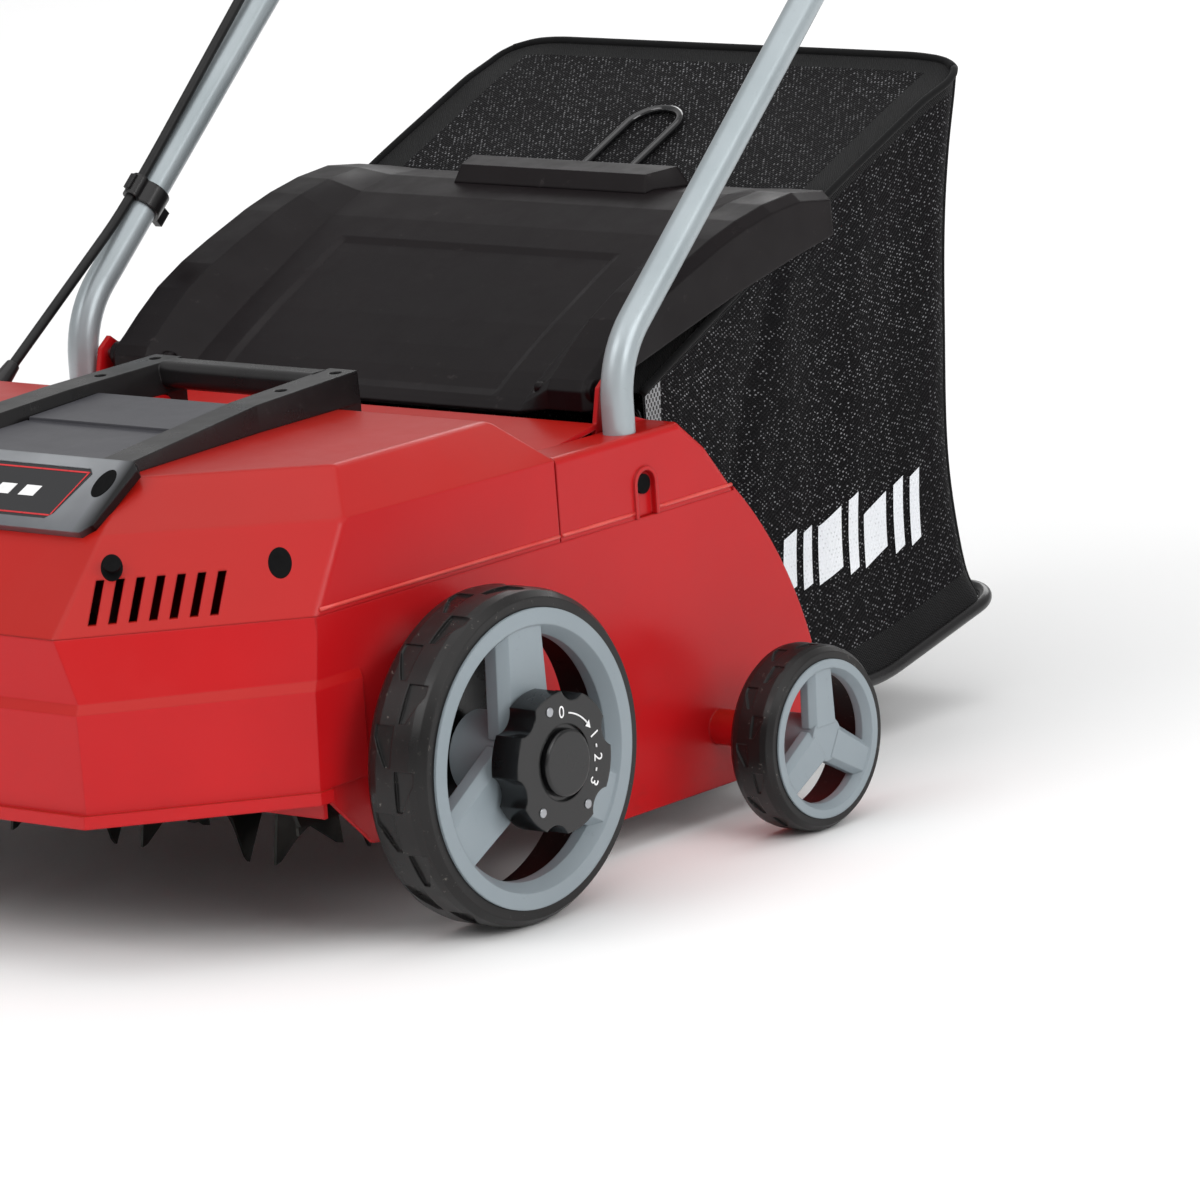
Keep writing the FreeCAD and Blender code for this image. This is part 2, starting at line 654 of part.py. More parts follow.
def depth_knob():
    y, z = 0, WHEEL_R
    body = cyl_x(KNOB_R, KNOB_X[0], KNOB_X[1] - 3, y, z)
    for i in range(6):
        a = math.radians(60 * i + 15)
        body = body.cut(cyl_x(11, 270, 310, y + (KNOB_R + 6) * math.cos(a), z + (KNOB_R + 6) * math.sin(a)))
    body = soften(body, 3.5, lambda e: e.BoundBox.XMin > KNOB_X[1] - 3.5)
    cap = cyl_x(18, KNOB_X[1] - 4, KNOB_X[1], y, z)
    cap = soften(cap, 1.5, lambda e: e.BoundBox.XMin > KNOB_X[1] - 0.5)
    groove = ring_x(20.5, 18.0, KNOB_X[1] - 5, KNOB_X[1] + 1, y, z)
    body = body.cut(groove).fuse(cap)
    return body.cut(cyl_x(AXLE_R + 0.08, 270, 293, y, z))


def rear_axle():
    return cyl_x(REAR_AXLE_R, -280, 280, REAR_Y, REAR_R)


# ---- rotor, motor, belt --------------------------------------------------------
def rotor_shaft():
    return cyl_x(9.0, -170, 198, ROTOR_Y, ROTOR_Z)


def rotor_sleeve():
    return ring_x(13, 9, -140, 170, ROTOR_Y, ROTOR_Z)


def blade(x, angle):
    reach, half = BLADE_REACH, BLADE_HALF
    quarter = [(19, 0), (17, 22), (half - 4, reach - 26), (half, reach), (half - 4, reach - 1), (3, reach - 15)]
    points = quarter + [(-w, r) for w, r in reversed(quarter)][:-1]
    points += [(-w, -r) for w, r in points]
    solid = prism_x([(ROTOR_Y + a, ROTOR_Z - b) for a, b in points], x - 1, x + 1)
    solid = solid.cut(cyl_x(13, x - 5, x + 5, ROTOR_Y, ROTOR_Z))
    return around_x(solid, angle, ROTOR_Y, ROTOR_Z)


def rotor_blades():
    step = 19.6
    first = -131.0
    return Part.makeCompound([blade(first + i * step, (i - 12) * 36.0) for i in range(BLADES)])


def pulley(r, y, z, bore, flange):
    body = cyl_x(r, BELT_X[0], BELT_X[1], y, z)
    body = body.fuse(cyl_x(r + flange, BELT_X[0] - 1.5, BELT_X[0], y, z))
    body = body.fuse(cyl_x(r + flange, BELT_X[1], BELT_X[1] + 1.5, y, z))
    return body.cut(cyl_x(bore, -260, 0, y, z))


def belt_loop(extra, x0, x1):
    c1, c2 = V(x0, ROTOR_Y, ROTOR_Z), V(x0, MOTOR_Y, MOTOR_Z)
    r1, r2 = BIG_PULLEY_R + extra, SMALL_PULLEY_R + extra
    gap = c2 - c1
    lean = math.acos((r1 - r2) / gap.Length)
    along = math.atan2(gap.z, gap.y)
    points = []
    for sign in (1, -1):
        a = along + sign * lean
        out = V(0, math.cos(a), math.sin(a))
        pair = [c1 + out * r1, c2 + out * r2]
        points += pair if sign > 0 else list(reversed(pair))
    web = Part.Face(polygon(points)).extrude(V(x1 - x0, 0, 0))
    return fuse(web, cyl_x(r1, x0, x1, ROTOR_Y, ROTOR_Z), cyl_x(r2, x0, x1, MOTOR_Y, MOTOR_Z))


def drive_belt():
    x0, x1 = BELT_X[0] + 1, BELT_X[1] - 1
    return belt_loop(3.0, x0, x1).cut(belt_loop(0.3, x0 - 1, x1 + 1))


def bearing_plates():
    def plate(x0, x1):
        disc = cyl_x(TUNNEL_R - 0.5, x0, x1, ROTOR_Y, ROTOR_Z).cut(box(x0 - 1, x1 + 1, -200, 200, 0, 62))
        return disc.fuse(cyl_x(20, x0 - 3, x1 + 3, ROTOR_Y, ROTOR_Z)).cut(cyl_x(16, -300, 300, ROTOR_Y, ROTOR_Z))
    return Part.makeCompound([plate(DRIVE_END + 2.5, DRIVE_END + 5.5), plate(177, 180)])


def ball_bearings():
    rings = [ring_x(16, 9.05, DRIVE_END - 1, DRIVE_END + 9, ROTOR_Y, ROTOR_Z), ring_x(16, 9.05, 173.5, 183.5, ROTOR_Y, ROTOR_Z)]
    rings += [ring_x(12, 5.05, -72, -64, MOTOR_Y, MOTOR_Z), ring_x(12, 5.05, 64, 72, MOTOR_Y, MOTOR_Z)]
    return Part.makeCompound(rings)


def motor_can():
    can = ring_x(MOTOR_R, MOTOR_R - 2, -72, 72, MOTOR_Y, MOTOR_Z)
    for x in (-72, 69):
        can = can.fuse(ring_x(MOTOR_R - 1, 12, x, x + 3, MOTOR_Y, MOTOR_Z))
        nose = x if x < 0 else x - 5
        can = can.fuse(ring_x(15, 12, nose, nose + 8, MOTOR_Y, MOTOR_Z))
    for i in range(8):
        slot = box(-62, -48, MOTOR_Y - 3, MOTOR_Y + 3, MOTOR_Z, MOTOR_Z + 60)
        can = can.cut(around_x(slot, 45 * i, MOTOR_Y, MOTOR_Z))
    foot = box(-50, 50, MOTOR_Y - 30, MOTOR_Y + 18, 94, 100)
    posts = [box(x - 4, x + 4, MOTOR_Y - 26, MOTOR_Y + 14, 99, MOTOR_Z - 30) for x in (-40, 40)]
    web = fuse(foot, *posts).cut(cyl_x(MOTOR_R - 1, -200, 200, MOTOR_Y, MOTOR_Z))
    return can.fuse(web)


def motor_stator():
    return ring_x(MOTOR_R - 2, 26, -34, 34, MOTOR_Y, MOTOR_Z)


def armature():
    return fuse(cyl_x(25.4, -34, 34, MOTOR_Y, MOTOR_Z), cyl_x(5, -168, 76, MOTOR_Y, MOTOR_Z),
                cyl_x(15, 38, 56, MOTOR_Y, MOTOR_Z))


def motor_fan():
    fan = ring_x(12, 5, -62, -48, MOTOR_Y, MOTOR_Z)
    for i in range(8):
        vane = box(-60, -50, MOTOR_Y - 0.8, MOTOR_Y + 0.8, MOTOR_Z + 9, MOTOR_Z + 34)
        fan = fan.fuse(around_x(vane, 45 * i, MOTOR_Y, MOTOR_Z))
    return fan.fuse(ring_x(34, 11, -50, -48, MOTOR_Y, MOTOR_Z))


# ---- flap ----------------------------------------------------------------------
FLAP_HALF = 180.0
FLAP_T = 3.0
SHOULDER_YZ = [(177.5, 236), (177.5, 247), (181, 252.5), (188, 257.5), (200, 267), (218, 279.5), (240, 290.5),
               (263, 299.5), (290, 309), (297, 311.5), (302, 313), (320, 318), (345, 323), (372, 325.5), (400, 322)]
PANEL_YZ = [(180, 233), (183.5, 236), (187, 238.8), (193, 243), (204, 250), (220, 259), (241, 270),
            (264, 281), (291, 294), (298, 297.2), (302, 299), (320, 307), (346, 316.5), (373, 322), (400, 321)]
FLAP_SKIRT_YZ = [(400, 297), (368, 291), (312, 279), (263, 266), (218, 254), (197, 242), (186, 238)]


def inner_line(yz, t):
    """The line t inside yz, square to it."""
    points = []
    for i, (y, z) in enumerate(yz):
        y0, z0 = yz[max(i - 1, 0)]
        y1, z1 = yz[min(i + 1, len(yz) - 1)]
        span = math.hypot(y1 - y0, z1 - z0)
        points.append((y + t * (z1 - z0) / span, z - t * (y1 - y0) / span))
    return points


def flap_section(x, yz, inset=0.0):
    outer = inner_line(yz, inset)
    inner = inner_line(yz, inset + FLAP_T)
    return [V(x, y, z) for y, z in outer + inner[::-1]]


def flap():
    """Wide shoulders over the hinges, a lower panel between them and a shallow pocket in the panel."""
    pocket_yz = [(y, z - 1.8) if 190 < y < 300 else (y, z) for y, z in PANEL_YZ]
    right = [(100, pocket_yz, 0), (105, PANEL_YZ, 0), (126, PANEL_YZ, 0), (150, SHOULDER_YZ, 0),
             (FLAP_HALF - 6, SHOULDER_YZ, 0), (FLAP_HALF, SHOULDER_YZ, 5)]
    rows = [(-x, yz, inset) for x, yz, inset in reversed(right)] + right
    shell = loft(*[flap_section(*row) for row in rows])
    edge = inner_line(SHOULDER_YZ, 5.5)[1:]
    skirt = prism_x(edge + FLAP_SKIRT_YZ, FLAP_HALF - FLAP_T, FLAP_HALF)
    barrel = cyl_x(7, 150, FLAP_HALF - 1, HINGE_Y, HINGE_Z)
    solid = fuse(shell, *both(skirt), *both(barrel))
    return solid.cut(cyl_x(3.08, -300, 300, HINGE_Y, HINGE_Z))


def flap_grip():
    low = [V(-72, 366, 319.5), V(72, 366, 319.5), V(82, 397, 318.8), V(-82, 397, 318.8)]
    high = [V(-69, 371, 331), V(69, 371, 331), V(77, 391, 333), V(-77, 391, 333)]
    return loft(low, high).cut(flap())


def flap_hinge_pin():
    pin = cyl_x(3.0, 152, 187, HINGE_Y, HINGE_Z)
    return Part.makeCompound(both(pin))


# ---- catcher bag ------------------------------------------------------------------
BAG_YZ = [(232, 70), (232, 236), (300, 268), (400, 315), (545, 375), (541, 350), (527, 296), (519, 221),
          (515, 146), (524, 84), (536, 62), (426, 36), (330, 36), (250, 60)]


def inset_yz(yz, t, open_front):
    centre_y, centre_z = 380.0, 190.0
    points = []
    for y, z in yz:
        ny = y + (t if y < centre_y else -t)
        if open_front and y < 240:
            ny = y - 20
        points.append((ny, z + (t if z < centre_z else -t)))
    return points


def bag_fabric():
    outer = prism_x(BAG_YZ, -BAG_HALF, BAG_HALF)
    outer = soften(outer, 10.0, lambda e: e.BoundBox.YMin > 300 and e.BoundBox.ZMin > 290 and
                   e.BoundBox.XMax - e.BoundBox.XMin < 1)
    inner = prism_x(inset_yz(BAG_YZ, BAG_WALL, True), -BAG_HALF + BAG_WALL, BAG_HALF - BAG_WALL)
    return outer.cut(inner)


def bag_frame():
    x = BAG_HALF - BAG_WALL - 4
    mouth = loop_tube([V(-x, 238, 78), V(x, 238, 78), V(x, 238, 228), V(-x, 238, 228)], 12, 3.0)
    top = tube([V(x, 238, 227), V(x, 296, 256), V(x, 400, 305.5), V(x, 534, 361), V(-x, 534, 361),
                V(-x, 400, 305.5), V(-x, 296, 256), V(-x, 238, 227)], [60, 300, 20, 20, 300, 60], 3.0)
    return mouth.fuse(top)


def bag_handle():
    half = 18.0
    rise = V(0, 64, 27).normalize()
    base = V(0, 414, 322)
    foot = V(0, 414, 312)
    tip = base + rise * 70
    points = [foot + V(half, 0, 0), base + V(half, 0, 0), tip + V(half, 0, 0), tip - V(half, 0, 0),
              base - V(half, 0, 0), foot - V(half, 0, 0)]
    return tube(points, [5, 17.5, 17.5, 5], 2.5)


def bag_rim():
    x = BAG_HALF + 4.0
    points = [V(x, 300, 46), V(x, 340, 36), V(x, 426, 36), V(x, 541, 63), V(-x, 541, 63),
              V(-x, 426, 36), V(-x, 340, 36), V(-x, 300, 46)]
    return tube(points, [60, 120, 24, 24, 120, 60], 4.0)


# ---- write every piece ----------------------------------------------------------------
PARTS = {
    "deck_shell": deck_shell,
    "motor_hood": motor_hood,
    "side_cover_left": side_cover,
    "side_cover_right": lambda: mirror(side_cover()),
    "belly_pan": belly_pan,
    "carry_handle": carry_handle,
    "handle_inlay": handle_inlay,
    "bezel": bezel,
    "badge_plate": badge_plate,
    "housing_screws": housing_screws,
    "lower_tube_left": lower_tube,
    "lower_tube_right": lambda: mirror(lower_tube()),
    "cable_gland": cable_gland,
    "motor_cable": motor_cable,
    "cable_clip_lower": lambda: clip(-TUBE_X, CLIP_U),
    "fold_bolts": fold_bolts,
    "rear_axle": rear_axle,
    "flap_hinge_pin": flap_hinge_pin,
    "bearing_plates": bearing_plates,
    "ball_bearings": ball_bearings,
    "motor_can": motor_can,
    "motor_stator": motor_stator,
    "drive_belt": drive_belt,
    "crank_left": crank,
    "crank_right": lambda: mirror(crank()),
    "front_tyre_left": front_tyre,
    "front_tyre_right": lambda: mirror(front_tyre()),
    "front_rim_left": front_rim,
    "front_rim_right": lambda: mirror(front_rim()),
    "depth_knob_left": depth_knob,
    "depth_knob_right": lambda: mirror(depth_knob()),
    "rear_tyre_left": rear_tyre,
    "rear_tyre_right": lambda: mirror(rear_tyre()),
    "rear_rim_left": rear_rim,
    "rear_rim_right": lambda: mirror(rear_rim()),
    "rotor_shaft": rotor_shaft,
    "rotor_sleeve": rotor_sleeve,
    "rotor_blades": rotor_blades,
    "rotor_pulley": lambda: pulley(BIG_PULLEY_R, ROTOR_Y, ROTOR_Z, 9.0, 4.0),
    "armature": armature,
    "motor_fan": motor_fan,
    "motor_pulley": lambda: pulley(SMALL_PULLEY_R, MOTOR_Y, MOTOR_Z, 5.0, 4.0),
    "flap": flap,
    "flap_grip": flap_grip,
    "bag_fabric": bag_fabric,
    "bag_frame": bag_frame,
    "bag_handle": bag_handle,
    "bag_rim": bag_rim,
    "upper_tube": upper_tube,
    "switch_box_upper": switch_box_upper,
    "switch_box_lower": switch_box_lower,
    "grip_sleeve": grip_sleeve,
    "handle_cable": handle_cable,
    "cable_clip_upper": lambda: clip(-UPPER_X, 300),
    "inlet_pins": inlet_pins,
    "lever_bracket": lever_bracket,
    "switch_lever": switch_lever,
    "safety_button": safety_button,
    "fold_knob_left": fold_knob,
    "fold_knob_right": lambda: mirror(fold_knob()),
}

for name, make in PARTS.items():
    shape = make()
    shape.translate(V(0, Y_SHIFT, 0))
    shape.exportStep("parts/" + name + ".step")
    b = shape.BoundBox
    print("%-18s solids %2d valid %s  x %.1f..%.1f  y %.1f..%.1f  z %.1f..%.1f  cm3 %.1f" % (
        name, len(shape.Solids), shape.isValid(), b.XMin, b.XMax, b.YMin, b.YMax, b.ZMin, b.ZMax,
        shape.Volume / 1000))
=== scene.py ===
"""Visual model of the walk-behind electric lawn dethatcher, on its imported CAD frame."""
import math

import bmesh
import bpy
from mathutils import Matrix, Vector, noise
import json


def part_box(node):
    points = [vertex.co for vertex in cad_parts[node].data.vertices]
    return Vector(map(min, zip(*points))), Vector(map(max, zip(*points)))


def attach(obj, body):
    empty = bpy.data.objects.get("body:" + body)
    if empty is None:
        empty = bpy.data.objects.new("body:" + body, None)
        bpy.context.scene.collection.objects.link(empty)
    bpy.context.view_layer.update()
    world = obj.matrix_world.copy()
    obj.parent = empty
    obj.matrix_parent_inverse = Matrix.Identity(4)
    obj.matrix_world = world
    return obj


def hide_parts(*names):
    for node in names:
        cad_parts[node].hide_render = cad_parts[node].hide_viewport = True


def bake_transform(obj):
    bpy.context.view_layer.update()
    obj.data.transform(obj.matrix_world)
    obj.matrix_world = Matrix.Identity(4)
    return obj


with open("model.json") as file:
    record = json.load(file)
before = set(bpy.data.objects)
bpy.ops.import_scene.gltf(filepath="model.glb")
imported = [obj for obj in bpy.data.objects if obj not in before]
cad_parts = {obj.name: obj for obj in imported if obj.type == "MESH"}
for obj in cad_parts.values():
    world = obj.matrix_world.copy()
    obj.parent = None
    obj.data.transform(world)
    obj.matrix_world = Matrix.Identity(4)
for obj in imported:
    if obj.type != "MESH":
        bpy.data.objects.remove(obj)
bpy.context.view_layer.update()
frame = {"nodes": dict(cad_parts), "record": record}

AXLE_Y = sum(corner.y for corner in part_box("front_tyre_left")) / 2
RAKE = math.radians(48)             # the handle's lean back from upright
FOLD_Y, FOLD_Z = 502.75, 560.41     # the fold bolts, in millimetres from the front axle and the ground


def W(x, y, z):
    """Millimetres from the front axle, on the ground, to the row frame."""
    return Vector((x / 1000, y / 1000 + AXLE_Y, z / 1000))


def on_handle(x, u, n):
    """A point on the raked handle: u runs up it from the fold, n stands off its front."""
    sin, cos = math.sin(RAKE), math.cos(RAKE)
    return W(x, FOLD_Y + sin * u - cos * n, FOLD_Z + cos * u + sin * n)


def srgb(r, g, b):
    """A shader colour from 0..255 sRGB values."""
    linear = [c / 255 / 12.92 if c < 11 else ((c / 255 + 0.055) / 1.055) ** 2.4 for c in (r, g, b)]
    return (*linear, 1.0)


# ---- camera and light ----------------------------------------------------------
CAMERA_AT = (2955.8, -3097.6, 1026.1)               # millimetres from the front axle, on the ground
CAMERA_AZIMUTH, CAMERA_ELEVATION, CAMERA_ROLL = 40.31, 11.77, -4.01     # degrees
LENS, SENSOR = 240.0, 36.0
WORLD_STRENGTH = 0.46
SUN_STRENGTH, SUN_ANGLE = 1.35, 80.0
LIT_MIDDLE = (0.0, -0.1, 0.25)
AREA_LIGHTS = [                     # name, position, size, power
    ("key", (-0.9, -3.2, 2.6), (2.4, 1.6), 40),
    ("side", (3.4, -0.6, 1.8), (2.2, 1.8), 54),
    ("back", (-1.4, 3.4, 2.2), (2.4, 1.4), 30),
]


def look(position, az, el, roll):
    """A camera matrix at position, looking back along azimuth and elevation, rolled about its own axis."""
    back = Vector((math.sin(az) * math.cos(el), -math.cos(az) * math.cos(el), math.sin(el)))
    right = Vector((math.cos(az), math.sin(az), 0))
    up = back.cross(right)
    x = math.cos(roll) * right + math.sin(roll) * up
    y = math.cos(roll) * up - math.sin(roll) * right
    turn = Matrix((x, y, back)).transposed().to_4x4()
    return Matrix.Translation(position) @ turn


def make_camera():
    data = bpy.data.cameras.new("camera")
    data.lens = LENS
    data.sensor_width = SENSOR
    data.clip_end = 60.0
    camera = bpy.data.objects.new("camera", data)
    bpy.context.scene.collection.objects.link(camera)
    angles = [math.radians(a) for a in (CAMERA_AZIMUTH, CAMERA_ELEVATION, CAMERA_ROLL)]
    camera.matrix_world = look(W(*CAMERA_AT), *angles)
    bpy.context.scene.camera = camera


def area_light(name, position, size, power):
    data = bpy.data.lights.new(name, "AREA")
    data.shape = "RECTANGLE"
    data.size, data.size_y = size
    data.energy = power
    light = bpy.data.objects.new(name, data)
    bpy.context.scene.collection.objects.link(light)
    light.location = position
    light.rotation_euler = (Vector(LIT_MIDDLE) - Vector(position)).to_track_quat("-Z", "Y").to_euler()


def make_studio():
    world = bpy.data.worlds.new("studio")
    bpy.context.scene.world = world
    world.use_nodes = True
    background = world.node_tree.nodes["Background"]
    background.inputs["Color"].default_value = (1.0, 1.0, 1.0, 1.0)
    background.inputs["Strength"].default_value = WORLD_STRENGTH
    for light in AREA_LIGHTS:
        area_light(*light)
    sky = bpy.data.lights.new("soft_top", "SUN")
    sky.energy = SUN_STRENGTH
    sky.angle = math.radians(SUN_ANGLE)
    top = bpy.data.objects.new("soft_top", sky)
    bpy.context.scene.collection.objects.link(top)
    top.rotation_euler = (math.radians(12), math.radians(6), 0)
    bpy.ops.mesh.primitive_plane_add(size=60.0, location=(0, 0, -0.0005))
    floor = bpy.context.object
    floor.name = "studio_floor"
    paint = Surface("floor_paper", (0.90, 0.90, 0.90, 1), 0.85)
    paint.vary(0.90, (0.885, 0.885, 0.885, 1), (0.905, 0.905, 0.905, 1), 1.5)
    floor.data.materials.append(paint.material)


# ---- materials -----------------------------------------------------------------
class Surface:
    """One procedural material: a Principled shader with noise-driven colour, roughness and bump."""

    def __init__(self, name, colour, roughness, **sockets):
        self.material = bpy.data.materials.new(name)
        self.material.use_nodes = True
        self.tree = self.material.node_tree
        self.shader = self.tree.nodes["Principled BSDF"]
        self.shader.inputs["Base Color"].default_value = colour
        self.shader.inputs["Roughness"].default_value = roughness
        for socket, value in sockets.items():
            self.shader.inputs[socket.replace("_", " ")].default_value = value
        self.place = self.tree.nodes.new("ShaderNodeTexCoord")
        self.height = None
        self.colour = None

    def node(self, kind, **inputs):
        made = self.tree.nodes.new(kind)
        for key, value in inputs.items():
            made.inputs[key.replace("_", " ")].default_value = value
        return made

    def link(self, a, b):
        self.tree.links.new(a, b)

    def axes(self, vector):
        """The X, Y and Z outputs of a vector."""
        split = self.node("ShaderNodeSeparateXYZ")
        self.link(vector, split.inputs[0])
        return split.outputs

    def scaled(self, stretch):
        """Object coordinates, in metres, stretched on each axis."""
        mapping = self.node("ShaderNodeMapping", Scale=stretch)
        self.link(self.place.outputs["Object"], mapping.inputs["Vector"])
        return mapping.outputs["Vector"]

    def noise(self, scale, detail=3.0, stretch=(1, 1, 1), rough=0.5):
        texture = self.node("ShaderNodeTexNoise", Scale=scale, Detail=detail, Roughness=rough)
        self.link(self.scaled(stretch), texture.inputs["Vector"])
        return texture.outputs["Fac"]

    def cells(self, scale):
        texture = self.node("ShaderNodeTexVoronoi", Scale=scale)
        self.link(self.scaled((1, 1, 1)), texture.inputs["Vector"])
        return texture.outputs["Distance"]

    def ramp(self, value, low, high, out_low=0.0, out_high=1.0):
        """Maps value from low..high to out_low..out_high, clamped."""
        ranged = self.node("ShaderNodeMapRange")
        for index, number in enumerate((low, high, out_low, out_high)):
            ranged.inputs[index + 1].default_value = number
        self.link(value, ranged.inputs[0])
        return ranged.outputs[0]

    def math(self, operation, a, b=0.0):
        made = self.node("ShaderNodeMath")
        made.operation = operation
        for index, value in enumerate((a, b)):
            if isinstance(value, (int, float)):
                made.inputs[index].default_value = value
            else:
                self.link(value, made.inputs[index])
        return made.outputs[0]

    def product(self, *values):
        """All values multiplied, in order."""
        total = values[0]
        for value in values[1:]:
            total = self.math("MULTIPLY", total, value)
        return total

    def tint(self, factor, colour):
        """Mixes colour over what the base colour is so far, by factor."""
        mix = self.node("ShaderNodeMix")
        mix.data_type = "RGBA"
        if self.colour is None:
            mix.inputs[6].default_value = self.shader.inputs["Base Color"].default_value
        else:
            self.link(self.colour, mix.inputs[6])
        mix.inputs[7].default_value = colour
        self.link(factor, mix.inputs[0])
        self.colour = mix.outputs[2]
        self.link(self.colour, self.shader.inputs["Base Color"])

    def vary(self, roughness, dark, light, scale, spread=0.0):
        """Slow colour change between dark and light, with a matching change of roughness."""
        self.shader.inputs["Base Color"].default_value = dark
        self.tint(self.ramp(self.noise(scale, 4.0), 0.3, 0.7), light)
        if spread:
            level = self.ramp(self.noise(scale * 6, 5.0), 0.3, 0.7, roughness - spread, roughness + spread)
            self.link(level, self.shader.inputs["Roughness"])

    def bump(self, height, distance, strength=1.0):
        """Adds a layer of bump; distance is in metres."""
        made = self.node("ShaderNodeBump", Strength=strength, Distance=distance)
        self.link(height, made.inputs["Height"])
        if self.height is not None:
            self.link(self.height, made.inputs["Normal"])
        self.height = made.outputs["Normal"]
        self.link(self.height, self.shader.inputs["Normal"])

    def round_edges(self, radius):
        """Softens the look of moulded edges; radius is in metres."""
        bevel = self.node("ShaderNodeBevel", Radius=radius)
        bevel.samples = 4
        self.height = bevel.outputs["Normal"]
        self.link(self.height, self.shader.inputs["Normal"])

    def dust(self, colour, amount, scale):
        """Small specks and rubbed spots."""
        specks = self.ramp(self.noise(scale, 6.0, rough=0.75), 0.62, 0.74, 0.0, amount)
        self.tint(specks, colour)


def moulded(name, colour, light, roughness, grain, edge, spread, **sockets):
    """Injection-moulded plastic: slow flow marks, a fine spark-eroded grain and rounded edges."""
    made = Surface(name, colour, roughness, **sockets)
    made.round_edges(edge)
    made.vary(roughness, colour, light, 7.0, spread)
    made.bump(made.noise(1400.0, 2.0), grain, 0.5)
    made.bump(made.noise(9.0, 2.0), 0.0006, 0.25)
    return made


def red_plastic():
    """Red housing: a painted sheen makes it a little darker and warmer where it faces up; scuffed near the
    ground.
    """
    made = moulded("red_plastic", srgb(176, 14, 20), srgb(186, 18, 23), 0.34, 0.000006, 0.0016, 0.04,
                   Coat_Weight=0.08, Coat_Roughness=0.2, Specular_IOR_Level=0.25)
    facing = made.axes(made.node("ShaderNodeNewGeometry").outputs["Normal"])
    painted_top_sheen = made.ramp(facing["Z"], 0.15, 0.90)
    cloud = made.ramp(made.noise(5.0, 2.0), 0.35, 0.65, 0.45, 0.85)
    # Painted sheen: up-facing surfaces are tinted a little darker and warmer, in broad clouds.
    made.tint(made.product(painted_top_sheen, cloud), srgb(158, 26, 12))
    near_ground = made.ramp(made.axes(made.place.outputs["Object"])["Z"], 0.02, 0.13, 1.0, 0.0)
    scuffs = made.ramp(made.noise(38.0, 8.0, (1, 1, 2.2), 0.7), 0.54, 0.72)
    made.tint(made.product(near_ground, scuffs, 0.28), srgb(120, 40, 36))
    return made


def tyre_rubber():
    made = moulded("tyre_rubber", srgb(17, 16, 16), srgb(25, 23, 23), 0.36, 0.00003, 0.0012, 0.10,
                   Specular_IOR_Level=0.32)
    made.bump(made.noise(240.0, 6.0, rough=0.7), 0.0001, 0.4)
    made.dust(srgb(150, 145, 138), 0.6, 260.0)
    return made


def flap_plastic():
    made = moulded("flap_plastic", srgb(9, 4, 6), srgb(19, 13, 15), 0.40, 0.00003, 0.0018, 0.09,
                   Specular_IOR_Level=0.17)
    made.bump(made.cells(900.0), 0.00002, 0.35)
    made.dust(srgb(84, 78, 78), 0.25, 120.0)
    return made


def painted_tube():
    made = Surface("tube_paint", srgb(150, 160, 164), 0.36, Metallic=0.35, Coat_Weight=0.25, Coat_Roughness=0.2)
    made.vary(0.36, srgb(148, 158, 162), srgb(162, 171, 175), 16.0, 0.05)
    made.bump(made.noise(1100.0, 3.0), 0.00002, 0.4)
    made.dust(srgb(120, 126, 130), 0.35, 150.0)
    return made


def bezel_lacquer():
    """Silver lacquer with a painted highlight that lightens it towards the top edge, and black at the two ends.
    """
    made = Surface("bezel_metal", srgb(120, 123, 128), 0.3, Metallic=0.75, Coat_Weight=0.4, Coat_Roughness=0.1)
    made.round_edges(0.0012)
    place = made.axes(made.place.outputs["Object"])
    # Painted highlight: the lacquer lightens towards the top edge.
    made.tint(made.ramp(place["Z"], 0.222, 0.250), srgb(176, 179, 183))
    made.tint(made.ramp(made.noise(22.0, 3.0), 0.35, 0.65, 0.0, 0.35), srgb(84, 87, 92))
    ends = made.ramp(made.math("ABSOLUTE", place["X"]), 0.090, 0.101)
    made.tint(ends, srgb(16, 16, 18))
    made.bump(made.noise(1500.0, 2.0, (1, 6, 6)), 0.000008, 0.4)
    return made


def brushed(name, colour, roughness):
    """Bare metal with fine marks that run along X."""
    made = Surface(name, colour, roughness, Metallic=1.0)
    dark = tuple(c * 0.78 for c in colour[:3]) + (1.0,)
    made.vary(roughness, dark, colour, 30.0, 0.06)
    made.bump(made.noise(420.0, 4.0, (1, 12, 12)), 0.00003, 0.5)
    return made


def worn_blade():
    made = brushed("blade_steel", srgb(66, 66, 64), 0.42)
    made.dust(srgb(96, 70, 48), 0.5, 90.0)
    return made


def laminated():
    made = Surface("laminations", srgb(120, 118, 116), 0.45, Metallic=0.9)
    bands = made.node("ShaderNodeTexWave", Scale=320.0)
    made.link(made.place.outputs["Object"], bands.inputs["Vector"])
    made.tint(bands.outputs["Fac"], srgb(70, 69, 68))
    made.bump(bands.outputs["Fac"], 0.0001, 0.6)
    return made


def foam_grip():
    made = Surface("foam", srgb(18, 18, 19), 0.8, Specular_IOR_Level=0.2)
    made.vary(0.8, srgb(15, 15, 16), srgb(25, 25, 26), 40.0, 0.05)
    made.bump(made.cells(700.0), 0.0003, 0.7)
    return made


def rubber(name, tone=17):
    made = Surface(name, srgb(tone, tone, tone + 1), 0.42, Specular_IOR_Level=0.3)
    made.vary(0.42, srgb(tone - 4, tone - 4, tone - 3), srgb(tone + 8, tone + 8, tone + 9), 50.0, 0.08)
    made.bump(made.noise(500.0, 3.0), 0.00003, 0.5)
    return made


def wire_gloss():
    made = Surface("black_wire", srgb(14, 14, 15), 0.16, Coat_Weight=0.6, Coat_Roughness=0.06)
    made.vary(0.16, srgb(11, 11, 12), srgb(20, 20, 21), 60.0, 0.04)
    made.bump(made.noise(180.0, 2.0), 0.00004, 0.3)
    return made


